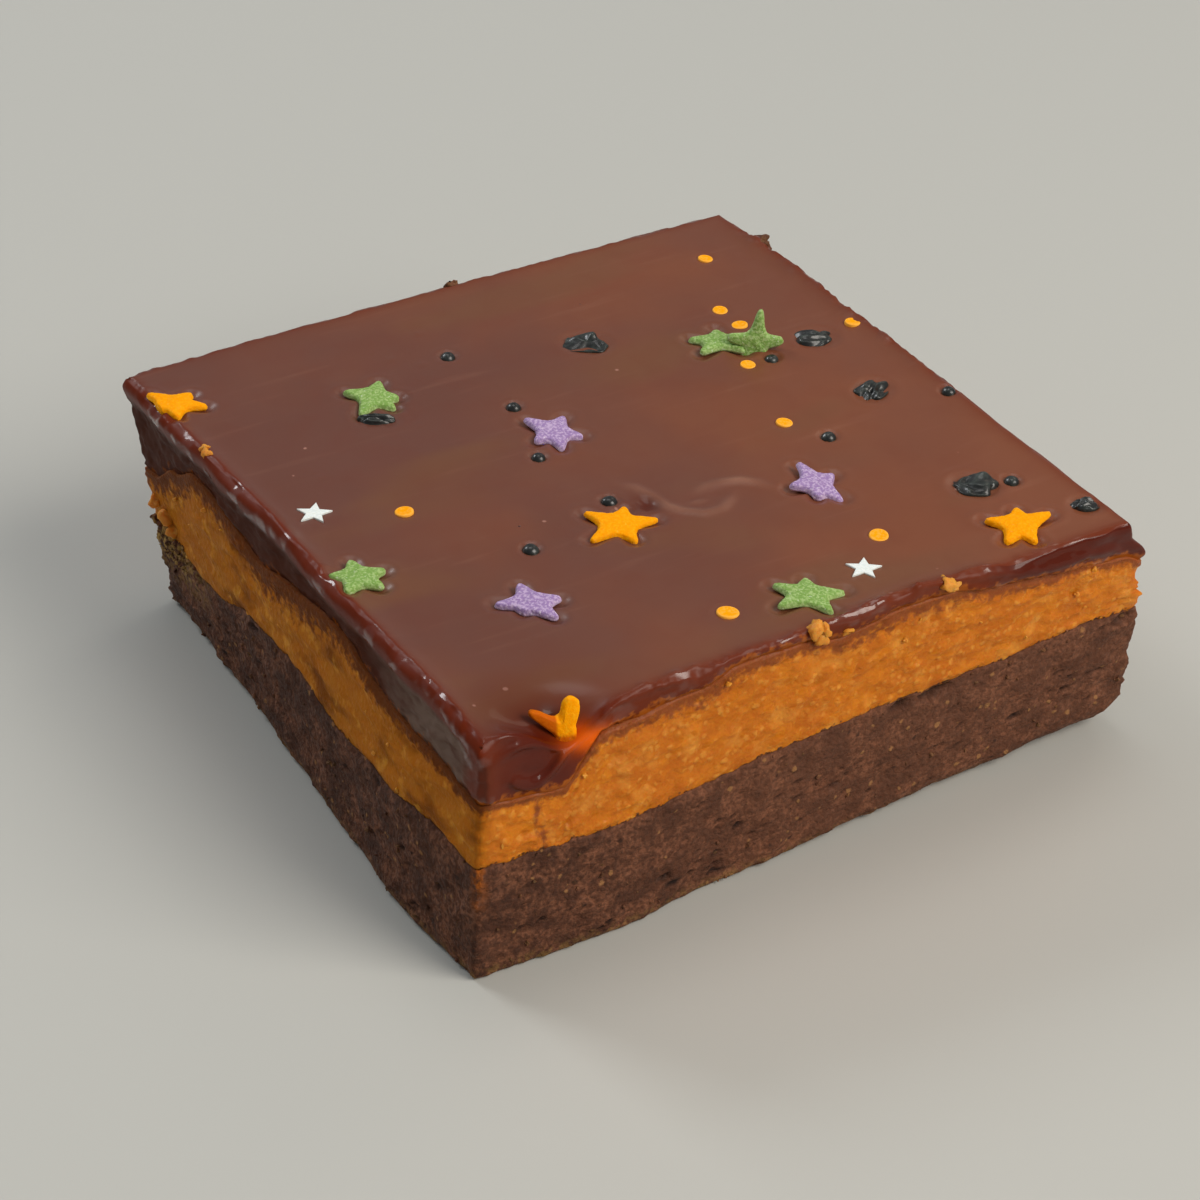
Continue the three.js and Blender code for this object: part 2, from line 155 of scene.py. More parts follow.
class Grit:
    """Seeded noise over points in space."""

    @staticmethod
    def lattice(i: np.ndarray, j: np.ndarray, k: np.ndarray) -> np.ndarray:
        """Returns a repeatable value from 0 to 1 at whole-numbered points."""
        wave = np.sin(i * 127.1 + j * 311.7 + k * 74.7) * 43758.5453
        return wave - np.floor(wave)

    @classmethod
    def noise(cls, points: np.ndarray, grain: float | Sequence[float]) -> np.ndarray:
        """Smooth noise from -1 to 1.

        Args:
            points: Points in space, one in each row.
            grain: Size of the grain, one number or one for each axis.

        Returns:
            One value for each point.
        """
        p = points / np.array(grain, float)
        whole = np.floor(p)
        t = p - whole
        t = t * t * (3 - 2 * t)
        i, j, k = whole.T
        a, b, c = t.T

        def edge(dj: int, dk: int) -> np.ndarray:
            """Returns the value along X on one edge of the cell."""
            return mix(cls.lattice(i, j + dj, k + dk), cls.lattice(i + 1, j + dj, k + dk), a)

        low, high = mix(edge(0, 0), edge(1, 0), b), mix(edge(0, 1), edge(1, 1), b)
        return 2 * mix(low, high, c) - 1

    @classmethod
    def rough(cls, points: np.ndarray, grain: float | Sequence[float], octaves: int = 3) -> np.ndarray:
        """Noise with finer noise on it.

        Args:
            points: Points in space, one in each row.
            grain: Size of the coarsest grain.
            octaves: How many finer layers are added, each half as large.

        Returns:
            One value for each point, about -1 to 1.
        """
        total = np.zeros(len(points))
        for octave in range(octaves):
            shifted = points + 17.3 * octave
            total += 0.55**octave * cls.noise(shifted, np.array(grain, float) / 2**octave)
        return total

    @classmethod
    def cells(
        cls, points: np.ndarray, spacing: float | Sequence[float], share: float, seed: int
    ) -> tuple[np.ndarray, np.ndarray]:
        """Distance to the nearest of many scattered spots.

        Args:
            points: Points in space, one in each row.
            spacing: Size of the cell that may hold one spot.
            share: Share of the cells that hold one.
            seed: Picks another scatter.

        Returns:
            The distance in cell sizes, and a value from 0 to 1 that is the spot's own.
        """
        p = points / np.array(spacing, float) + 31.7 * seed
        whole = np.floor(p)
        best = np.full(len(points), 9.0)
        own = np.zeros(len(points))
        for step in product((-1, 0, 1), repeat=3):
            cell = whole + step
            i, j, k = cell.T
            spot = cell + np.stack([cls.lattice(i + 5.1 * n, j, k + 3.3 * n) for n in (1, 2, 3)], -1)
            there = cls.lattice(i, j + 9.7, k) < share
            distance = np.where(there, np.linalg.norm(p - spot, axis=1), 9.0)
            nearer = distance < best
            best = np.where(nearer, distance, best)
            own = np.where(nearer, cls.lattice(i + 2.9, j, k), own)
        return best, own

    @classmethod
    def grains(
        cls, points: np.ndarray, spacing: float | Sequence[float], share: float, seed: int,
        size: Sequence[float],
    ) -> np.ndarray:
        """Returns domes of 1 on scattered spots, each with a smallest size and more of its own."""
        distance, own = cls.cells(points, spacing, share, seed)
        return np.clip(1 - (distance / (size[0] + size[1] * own)) ** 2, 0, 1)

    @classmethod
    def pits(
        cls, points: np.ndarray, spacing: float | Sequence[float], share: float, seed: int,
        size: Sequence[float], edge: float,
    ) -> np.ndarray:
        """Returns 1 in scattered pits with a soft edge, each with a smallest size and more of its own."""
        distance, own = cls.cells(points, spacing, share, seed)
        return smooth(size[0] + size[1] * own - distance, 0, edge)


class Side(Enum):
    """The four sides of the slice."""

    LEFT = "left"
    FRONT = "front"
    RIGHT = "right"
    BACK = "back"


@dataclass(frozen=True)
class Spots:
    """Spots of the square: places from left to right and from front to back, and heights."""

    u: np.ndarray
    v: np.ndarray
    z: np.ndarray | float = 0.0

    @property
    def points(self) -> np.ndarray:
        """The spots, one in each row."""
        return np.stack(np.broadcast_arrays(self.u, self.v, self.z), -1)

    @property
    def sheet(self) -> np.ndarray:
        """The spots brought to height 0, one in each row."""
        return Spots(self.u, self.v).points

    def away(self, u: float, v: float) -> np.ndarray:
        """Returns the distance of each spot from a place of the square."""
        return np.hypot(self.u - u, self.v - v)


@dataclass(frozen=True)
class Ridge:
    """A low ridge in the topping along a line of points, highest in its middle."""

    line: Points
    rise: float
    width: float

    def at(self, u: np.ndarray, v: np.ndarray) -> np.ndarray:
        """Height of the ridge at places of the square.

        Args:
            u: Places from left to right.
            v: Places from front to back.

        Returns:
            The heights.
        """
        total = len(self.line) - 1
        best, place = np.full(u.shape, 99.0), np.zeros(u.shape)
        for n, ((ax, ay), (bx, by)) in enumerate(zip(self.line, self.line[1:])):
            dx, dy = bx - ax, by - ay
            t = np.clip(((u - ax) * dx + (v - ay) * dy) / (dx * dx + dy * dy), 0, 1)
            distance = np.hypot(u - ax - t * dx, v - ay - t * dy)
            place = np.where(distance < best, (n + t) / total, place)
            best = np.minimum(best, distance)
        fade = np.sin(np.pi * np.clip(place, 0.02, 0.98)) ** 0.7
        return self.rise * bell(best, self.width) * fade


@dataclass(frozen=True)
class SliceForm:
    """The slice's driving sizes and the form that follows from them."""

    side: float = 80.0
    top_height: float = 29.5
    base_seam: Seam = Seam(
        FourSides(
            left=profile(
                (-40, 13.9), (-30, 14.0), (-20, 13.0), (-9, 12.6), (0, 13.8), (10, 13.6), (25, 10.2),
                (40, 10.0),
            ),
            front=profile(
                (-40, 13.9), (-24, 13.7), (-15, 14.3), (-5, 15.2), (5, 15.8), (20, 15.8), (30, 16.9),
                (40, 16.5),
            ),
            right=profile((-40, 16.5), (-15, 15.5), (10, 14.5), (40, 15.0)),
            back=profile((-40, 10.0), (-15, 12.5), (10, 13.5), (40, 15.0)),
        ),
        inside=13.5,
    )
    filling_seam: Seam = Seam(
        FourSides(
            left=profile(
                (-40, 21.5), (-30, 22.5), (-20, 23.0), (-10, 25.2), (1, 24.0), (9, 22.5), (16, 24.0),
                (24, 24.8), (30, 22.0), (37, 18.0), (40, 17.5),
            ),
            front=profile(
                (-40, 21.5), (-35, 21.0), (-31, 20.5), (-26, 25.5), (-15, 26.5), (-10, 28.0), (-2, 28.0),
                (2, 27.0), (10, 28.0), (17, 28.0), (21, 26.5), (30, 25.5), (37, 24.5), (40, 23.0),
            ),
            right=profile((-40, 23.0), (-20, 25.0), (5, 26.5), (25, 24.5), (40, 25.0)),
            back=profile((-40, 17.5), (-30, 22.0), (-10, 25.0), (15, 24.0), (40, 25.0)),
        ),
        inside=24.5,
    )
    seam_fade: float = 12.0
    foot_reach: FourSides = FourSides(
        left=profile((-40, 0.5), (-25, 1.4), (-10, 0.2), (5, -1.0), (20, -2.2), (40, -3.2)),
        front=profile((-40, 0.0), (-25, 0.5), (-10, -1.0), (10, -2.0), (20, -2.6), (40, -3.0)),
        right=profile((-40, 3.8), (0, 3.0), (40, 2.2)),
        back=profile((-40, -3.4), (0, -1.5), (40, -1.0)),
    )
    flare_drop: float = 0.45
    lobe_place: float = -40.0
    lobe_height: float = 24.5
    lobe_reach: float = 1.8
    lobe_length: float = 6.0
    lobe_spread: float = 2.2
    foot_radius: FourSides = FourSides(
        left=profile((-40, 0.6), (40, 1.2)),
        front=profile((-40, 0.6), (-10, 0.8), (20, 2.5), (40, 4.0)),
        right=profile((-40, 5.0), (40, 5.0)),
        back=profile((-40, 1.2), (10, 1.5), (40, 4.0)),
    )
    rim_rise: FourSides = FourSides(
        left=profile((-40, 0.2), (-31, 1.0), (-10, 0.8), (4, 1.3), (20, 0.8), (33, 0.2), (40, 0.0)),
        front=profile(
            (-40, -0.2), (-36, 0.5), (-26, 0.0), (-3, 0.2), (7, 0.8), (12, 1.1), (19, 0.7), (25, 0.0),
            (40, 0.0),
        ),
        right=profile((-40, 0.0), (-15, 0.2), (0, 0.6), (30, 0.7), (40, 0.0)),
        back=profile((-40, 0.0), (-20, 0.2), (0, 0.3), (40, 0.0)),
    )
    bead_width: float = 1.8
    pocket_place: tuple[float, float] = (-30.5, -40.5)
    pocket_depth: float = 3.6
    pocket_radius: float = 4.3
    grit_depth: float = 0.3
    grit_grain: float = 2.4
    corner_radius: float = 0.45

    @property
    def half(self) -> float:
        """Half of the side."""
        return self.side / 2

    def shares(self, at: Spots) -> tuple[np.ndarray, np.ndarray]:
        """Returns the places as shares of the side, from left to right and from front to back."""
        return (at.u + self.half) / self.side, (at.v + self.half) / self.side

    def inset(self, at: Spots) -> np.ndarray:
        """Returns the distance of each spot from the nearest side."""
        return self.half - np.maximum(np.abs(at.u), np.abs(at.v))

    def near(self, side: Side, at: Spots, width: float) -> np.ndarray:
        """Returns how close spots are to a side: 1 on it, fading over the width."""
        away = {Side.LEFT: at.u, Side.RIGHT: -at.u, Side.FRONT: at.v, Side.BACK: -at.v}[side]
        return 1 - smooth(self.half + away, 0, width)

    def seam_height(self, seam: Seam, at: Spots) -> np.ndarray:
        """Height of a seam.

        Args:
            seam: The seam.
            at: Spots of the square.

        Returns:
            The heights.
        """
        s, t = self.shares(at)
        sides = seam.sides
        across = mix(sides.left.at(at.v), sides.right.at(at.v), s)
        deep = mix(sides.front.at(at.u), sides.back.at(at.u), t)
        front_corners = mix(sides.front.points[0][1], sides.front.points[-1][1], s)
        back_corners = mix(sides.back.points[0][1], sides.back.points[-1][1], s)
        patch = across + deep - mix(front_corners, back_corners, t)
        return mix(patch, seam.inside, smooth(self.inset(at), 0, self.seam_fade))

    def plain_top(self, at: Spots) -> np.ndarray:
        """Height of the topping with its rim bead and corner dip, without finer forms.

        Args:
            at: Spots of the square.

        Returns:
            The heights.
        """
        rise = self.rim_rise
        bead = rise.left.at(at.v) * bell(at.u + self.half, self.bead_width)
        bead += rise.right.at(at.v) * bell(self.half - at.u, self.bead_width)
        bead += rise.front.at(at.u) * bell(at.v + self.half, self.bead_width)
        bead += rise.back.at(at.u) * bell(self.half - at.v, self.bead_width)
        dip = self.pocket_depth * bell(at.away(*self.pocket_place), self.pocket_radius)
        return self.top_height + bead - dip

    def level(self, u: float, v: float) -> float:
        """Returns the topping's height at one spot."""
        return float(self.plain_top(Spots(np.array([u]), np.array([v])))[0])

    def shared_grit(self, at: Spots) -> np.ndarray:
        """Returns the relief that all layers share along their seams."""
        return self.grit_depth * Grit.noise(at.points, self.grit_grain)

    @staticmethod
    def draw_in(radius: np.ndarray, z: np.ndarray) -> np.ndarray:
        """Returns how far the rounded bottom edge draws in at a height."""
        below = np.clip(radius - z, 0, radius)
        return radius - np.sqrt(radius**2 - below**2)

    def round_corners(self, at: Spots) -> tuple[np.ndarray, np.ndarray]:
        """Rounds the four upright edges of the square.

        Args:
            at: Spots of the square.

        Returns:
            The rounded places.
        """
        core = self.half - self.corner_radius
        du = np.maximum(np.abs(at.u) - core, 0)
        dv = np.maximum(np.abs(at.v) - core, 0)
        reach = np.maximum(np.hypot(du, dv), TINY)
        scale = np.where((du > 0) & (dv > 0), np.maximum(du, dv) / reach, 1)
        rounded_u = np.where(du > 0, np.sign(at.u) * (core + du * scale), at.u)
        rounded_v = np.where(dv > 0, np.sign(at.v) * (core + dv * scale), at.v)
        return rounded_u, rounded_v

    def on_slice(self, at: Spots, rough: np.ndarray) -> np.ndarray:
        """Brings spots of the square to the leaning and flared sides.

        Args:
            at: The spots.
            rough: Relief, outwards.

        Returns:
            The points in space, one in each row.
        """
        (s, t), z = self.shares(at), at.z
        fall = np.clip(1 - z / self.top_height, 0, 1)
        flare = smooth(fall, 0, self.flare_drop)
        reach, radius = self.foot_reach, self.foot_radius
        lobe = self.lobe_reach * bell(at.v - self.lobe_place, self.lobe_length)
        left = reach.left.at(at.v) * fall - self.draw_in(radius.left.at(at.v), z) + rough
        right = reach.right.at(at.v) * flare - self.draw_in(radius.right.at(at.v), z) + rough
        right += lobe * bell(z - self.lobe_height, self.lobe_spread)
        front = reach.front.at(at.u) * fall - self.draw_in(radius.front.at(at.u), z) + rough
        back = reach.back.at(at.u) * fall - self.draw_in(radius.back.at(at.u), z) + rough
        u, v = self.round_corners(at)
        return np.stack([u - left * (1 - s) + right * s, v - front * (1 - t) + back * t, z], -1)


FORM = SliceForm()


class Bench:
    """The workbench: adding, selecting and finishing pieces with Blender's own tools."""

    @staticmethod
    def clear() -> None:
        """Deselects everything."""
        bpy.ops.object.select_all(action="DESELECT")

    @classmethod
    def take(cls, piece: bpy.types.Object) -> None:
        """Selects one piece alone and makes it active.

        Args:
            piece: The piece.
        """
        cls.clear()
        piece.select_set(True)
        bpy.context.view_layer.objects.active = piece

    @classmethod
    def named(cls, name: str) -> bpy.types.Object:
        """Names the piece that was just added.

        Args:
            name: The piece's name.

        Returns:
            The piece.
        """
        piece = bpy.context.view_layer.objects.active
        piece.name = name
        piece.data.name = name
        return piece

    @staticmethod
    def open_edit(mode: str = "VERT") -> None:
        """Enters edit mode on the active piece, with everything selected.

        Args:
            mode: What is selected: VERT or FACE.
        """
        bpy.ops.object.mode_set(mode="EDIT")
        bpy.ops.mesh.select_mode(type=mode)
        bpy.ops.mesh.select_all(action="SELECT")

    @staticmethod
    def close_edit() -> None:
        """Returns to object mode."""
        bpy.ops.object.mode_set(mode="OBJECT")

    @classmethod
    def pick(cls, piece: bpy.types.Object, test: Callable[[np.ndarray], np.ndarray]) -> None:
        """Selects vertices by their place, and stays in edit mode.

        Args:
            piece: The piece, open in edit mode.
            test: Takes the points and says which are picked.
        """
        bpy.ops.mesh.select_all(action="DESELECT")
        cls.close_edit()
        piece.data.vertices.foreach_set("select", test(cls.points(piece)))
        bpy.ops.object.mode_set(mode="EDIT")

    @staticmethod
    def points(piece: bpy.types.Object) -> np.ndarray:
        """Reads a piece's vertices.

        Args:
            piece: The piece.

        Returns:
            The points, one in each row.
        """
        flat = np.zeros(len(piece.data.vertices) * 3, np.float32)
        piece.data.vertices.foreach_get("co", flat)
        return flat.reshape(-1, 3).astype(float)

    @staticmethod
    def move(piece: bpy.types.Object, points: np.ndarray) -> None:
        """Writes a piece's vertices."""
        piece.data.vertices.foreach_set("co", points.astype(np.float32).ravel())
        piece.data.update()

    @staticmethod
    def mark(piece: bpy.types.Object, name: str, values: np.ndarray | float) -> None:
        """Keeps a value at each vertex for the finish to read.

        Args:
            piece: The piece.
            name: What the finish calls the value.
            values: The values, or one for all, from 0 to 1.
        """
        layer = piece.data.attributes.new(name, "FLOAT", "POINT")
        kept = np.broadcast_to(np.clip(values, 0, 1), len(piece.data.vertices))
        layer.data.foreach_set("value", kept.astype(np.float32))

    @classmethod
    def seal(cls) -> None:
        """Points all faces outwards and returns to object mode."""
        bpy.ops.mesh.select_all(action="SELECT")
        bpy.ops.mesh.normals_make_consistent(inside=False)
        cls.close_edit()

    @staticmethod
    def draw_faces(rise: float) -> None:
        """Draws the picked faces straight up."""
        bpy.ops.mesh.extrude_region_move(TRANSFORM_OT_translate={"value": (0, 0, rise)})

    @staticmethod
    def draw_loop(drop: float) -> None:
        """Draws the picked loop of edges straight down."""
        bpy.ops.mesh.extrude_edges_move(TRANSFORM_OT_translate={"value": (0, 0, -drop)})

    @classmethod
    def close_loop(cls, half: float) -> None:
        """Closes the picked square loop with rings and a middle point.

        Args:
            half: Half of the loop's side.
        """
        reach = half
        for inset in CLOSING_INSETS:
            cls.draw_loop(0)
            share = (half - inset) / reach
            bpy.ops.transform.resize(value=(share, share, 1), center_override=(0, 0, 0))
            reach = half - inset
        cls.draw_loop(0)
        bpy.ops.mesh.merge(type="CENTER")

    @staticmethod
    def copies(model: bpy.types.Object, places: Iterable[Matrix]) -> list[bpy.types.Object]:
        """Copies a model to places, each copy with its own mesh.

        Args:
            model: The piece to copy.
            places: Where each copy goes.

        Returns:
            The copies.
        """
        made = []
        for place in places:
            copy = model.copy()
            copy.data = model.data.copy()
            copy.data.transform(place)
            bpy.context.scene.collection.objects.link(copy)
            made.append(copy)
        return made

    @classmethod
    def join(cls, name: str, parts: Sequence[bpy.types.Object]) -> bpy.types.Object:
        """Joins parts into one piece.

        Args:
            name: The piece's name.
            parts: The parts.

        Returns:
            The piece.
        """
        cls.clear()
        for part in parts:
            part.select_set(True)
        bpy.context.view_layer.objects.active = parts[0]
        bpy.ops.object.join()
        return cls.named(name)

    @classmethod
    def repeat(cls, name: str, model: bpy.types.Object, places: Iterable[Matrix]) -> bpy.types.Object:
        """Joins copies of a model into one piece and removes the model.

        Args:
            name: The piece's name.
            model: The piece to copy.
            places: Where each copy goes.

        Returns:
            The piece.
        """
        piece = cls.join(name, cls.copies(model, places))
        bpy.data.objects.remove(model)
        return piece


def shade(red: int, green: int, blue: int) -> tuple[float, float, float, float]:
    """Turns a colour as seen on a screen into the shader's own values.

    Args:
        red: Red from 0 to 255.
        green: Green from 0 to 255.
        blue: Blue from 0 to 255.

    Returns:
        The linear colour, opaque.
    """

    def linear(value: int) -> float:
        """Returns one channel, linear."""
        share = value / 255
        return share / 12.92 if share <= 0.04045 else ((share + 0.055) / 1.055) ** 2.4

    return (linear(red), linear(green), linear(blue), 1.0)


def at_place(u: float, v: float, z: float) -> Matrix:
    """Returns the matrix that moves a shape to its place."""
    return Matrix.Translation((u, v, z))


def turned(degrees: float, axis: str = "Z") -> Matrix:
    """Returns the matrix that turns a shape about an axis."""
    return Matrix.Rotation(math.radians(degrees), 4, axis)


class Wiring:
    """Adds and joins the nodes of one material or node group."""

    def __init__(self, tree: bpy.types.NodeTree) -> None:
        """Starts on a node tree."""
        self.tree = tree

    def plug(self, socket: Socket, value: object) -> None:
        """Feeds a socket from another one, or sets it."""
        if isinstance(value, Socket):
            self.tree.links.new(value, socket)
        else:
            socket.default_value = value

    def node(self, kind: str, inputs: dict | None = None, **settings: object) -> bpy.types.Node:
        """Adds a node.

        Args:
            kind: The node's type.
            inputs: Sockets by name or number, each a value or the socket that feeds it.
            settings: The node's own settings.

        Returns:
            The node.
        """
        made = self.tree.nodes.new(kind)
        for name, value in settings.items():
            setattr(made, name, value)
        for name, value in (inputs or {}).items():
            self.plug(made.inputs[name], value)
        return made

    def place(self, stretch: Triple = (1, 1, 1), turn: float = 0) -> Socket:
        """The point on the piece, for a pattern to read.

        Args:
            stretch: How much the pattern is squeezed along each axis.
            turn: Its turn about the vertical.

        Returns:
            The point.
        """
        where = self.node("ShaderNodeTexCoord").outputs["Object"]
        settings = {"Vector": where, "Scale": stretch, "Rotation": (0, 0, turn)}
        return self.node("ShaderNodeMapping", settings).outputs["Vector"]

    def across(self, turn: float = 0) -> Socket:
        """Returns the place from left to right, in metres."""
        return self.node("ShaderNodeSeparateXYZ", {0: self.place(turn=turn)}).outputs["X"]

    def noise(self, grain: float, detail: float = 3, where: Socket | None = None) -> Socket:
        """Returns noise from 0 to 1 with grains of a size in millimetres."""
        inputs = {"Scale": 1 / (grain * MM), "Detail": detail, "Vector": where or self.place()}
        return self.node("ShaderNodeTexNoise", inputs).outputs["Fac"]

    def fit(self, value: Socket, low: float, high: float, start: float = 0, end: float = 1) -> Socket:
        """Returns a value eased from start at low to end at high."""
        inputs = {"Value": value, "From Min": low, "From Max": high, "To Min": start, "To Max": end}
        return self.node("ShaderNodeMapRange", inputs, interpolation_type="SMOOTHSTEP").outputs["Result"]

    def sway(self, grain: float, detail: float, reach: float) -> Socket:
        """Returns noise that sways from -reach to reach."""
        return self.fit(self.noise(grain, detail), 0.3, 0.7, -reach, reach)

    def sum(self, kind: str, first: Socket | float, second: Socket | float) -> Socket:
        """Returns one sum of two values."""
        return self.node("ShaderNodeMath", {0: first, 1: second}, operation=kind).outputs[0]

    def times(self, first: Socket, second: Socket | float) -> Socket:
        """Returns the product of two values."""
        return self.sum("MULTIPLY", first, second)

    def between(self, share: Socket, first: Socket | float, second: Socket | float) -> Socket:
        """Returns the value between two at a share."""
        return self.node("ShaderNodeMix", {0: share, 2: first, 3: second}, data_type="FLOAT").outputs[0]

    def coats(self, colour: Socket | Colour, *coats: tuple[Socket, float, Colour]) -> Socket:
        """Lays coats over a colour.

        Args:
            colour: The colour below.
            coats: Each coat's mask, the share of it that covers, and its colour.

        Returns:
            The colour on top.
        """
        for mask, share, over in coats:
            amount = mask if share == 1 else self.times(mask, share)
            inputs = {0: amount, 6: colour, 7: over}
            colour = self.node("ShaderNodeMix", inputs, data_type="RGBA").outputs[2]
        return colour

    def marked(self, name: str) -> Socket:
        """Returns the value that was kept at each vertex under a name."""
        return self.node("ShaderNodeAttribute", attribute_name=name).outputs["Fac"]

    def bumps(self, *heights: tuple[Socket, float, float]) -> Socket:
        """A normal roughened by heights.

        Args:
            heights: Each height, with its strength and its depth in millimetres.

        Returns:
            The normal.
        """
        below = {}
        for height, strength, depth in heights:
            inputs = {"Height": height, "Strength": strength, "Distance": depth * MM, **below}
            below = {"Normal": self.node("ShaderNodeBump", inputs).outputs["Normal"]}
        return below["Normal"]


class Surface(Wiring):
    """The wiring of one material, with its shader."""

    def __init__(self, name: str) -> None:
        """Starts a material.

        Args:
            name: The material's name.
        """
        self.material = bpy.data.materials.new(name)
        self.material.use_nodes = True
        super().__init__(self.material.node_tree)
        self.shader = self.tree.nodes["Principled BSDF"]

    def set(self, **values: object) -> None:
        """Sets or feeds the shader's sockets, named with underscores for spaces."""
        for name, value in values.items():
            self.plug(self.shader.inputs[name.replace("_", " ")], value)


class SharedEffects:
    """Node groups that several finishes use, each built once."""

    def __init__(self) -> None:
        """Builds the groups."""
        self.speck_group = self.build_specks()
        self.patch_group = self.build_patches()

    def specks(self, w: Wiring, scale: float, share: float, size: float, softness: float) -> Socket:
        """Returns the mask of scattered spots, with so many to the metre."""
        inputs = {"Scale": scale, "Share": share, "Size": size, "Softness": softness}
        return w.node("ShaderNodeGroup", inputs, node_tree=self.speck_group).outputs["Mask"]

    def patches(self, w: Wiring, scale: float, middle: float, spread: float) -> Socket:
        """Returns the mask of soft patches, with so many to the metre."""
        inputs = {"Scale": scale, "Middle": middle, "Spread": spread}
        return w.node("ShaderNodeGroup", inputs, node_tree=self.patch_group).outputs["Mask"]

    @staticmethod
    def start(name: str, inputs: Sequence[str]) -> Wiring:
        """Starts a group that puts out one mask.

        Args:
            name: The group's name.
            inputs: The names of its inputs.

        Returns:
            The group's wiring.
        """
        tree = bpy.data.node_groups.new(name, "ShaderNodeTree")
        for label in inputs:
            tree.interface.new_socket(label, in_out="INPUT", socket_type="NodeSocketFloat")
        tree.interface.new_socket("Mask", in_out="OUTPUT", socket_type="NodeSocketFloat")
        return Wiring(tree)

    def build_specks(self) -> bpy.types.NodeTree:
        """Builds scattered spots of uneven size.

        Returns:
            The group.
        """
        w = self.start("scattered_specks", ("Scale", "Share", "Size", "Softness"))
        given = w.node("NodeGroupInput").outputs
        inputs = {"Vector": w.place(), "Scale": given["Scale"], "Detail": 2.0}
        warp = w.node("ShaderNodeTexNoise", inputs).outputs["Color"]
        reach = 0.6 * MM
        shift = w.node("ShaderNodeVectorMath", {0: warp, 1: (reach, reach, reach)}, operation="MULTIPLY")
        moved = w.node("ShaderNodeVectorMath", {0: w.place(), 1: shift.outputs[0]}, operation="ADD")
        inputs = {"Vector": moved.outputs[0], "Scale": given["Scale"]}
        spots = w.node("ShaderNodeTexVoronoi", inputs, feature="F1").outputs
        own = w.node("ShaderNodeSeparateColor", {"Color": spots["Color"]}).outputs
        size = w.times(given["Size"], w.sum("ADD", 0.5, own["Green"]))
        inside = w.sum("DIVIDE", w.sum("SUBTRACT", size, spots["Distance"]), given["Softness"])
        clamped = w.node("ShaderNodeClamp", {"Value": inside}).outputs[0]
        mask = w.times(clamped, w.sum("LESS_THAN", own["Red"], given["Share"]))
        w.node("NodeGroupOutput", {"Mask": mask})
        return w.tree

    def build_patches(self) -> bpy.types.NodeTree:
        """Builds soft patches with a set middle and spread.

        Returns:
            The group.
        """
        w = self.start("soft_patches", ("Scale", "Middle", "Spread"))
        given = w.node("NodeGroupInput").outputs
        inputs = {"Vector": w.place(), "Scale": given["Scale"], "Detail": 4.0, "Distortion": 0.6}
        cloud = w.node("ShaderNodeTexNoise", inputs).outputs["Fac"]
        low = w.sum("SUBTRACT", given["Middle"], given["Spread"])
        high = w.sum("ADD", given["Middle"], given["Spread"])
        w.node("NodeGroupOutput", {"Mask": w.fit(cloud, low, high)})
        return w.tree


@dataclass(frozen=True)
class Finish:
    """A finish that builds its own material."""

    name: str

    def make(self, effects: SharedEffects) -> bpy.types.Material:
        """Builds the material.

        Args:
            effects: The shared node groups.

        Returns:
            The material.
        """
        w = Surface(self.name)
        self.wire(w, effects)
        return w.material

    def wire(self, w: Surface, effects: SharedEffects) -> None:
        """Wires the material's colour, sheen and relief.

        Args:
            w: The material\'s wiring.
            effects: The shared node groups.
        """
        raise NotImplementedError


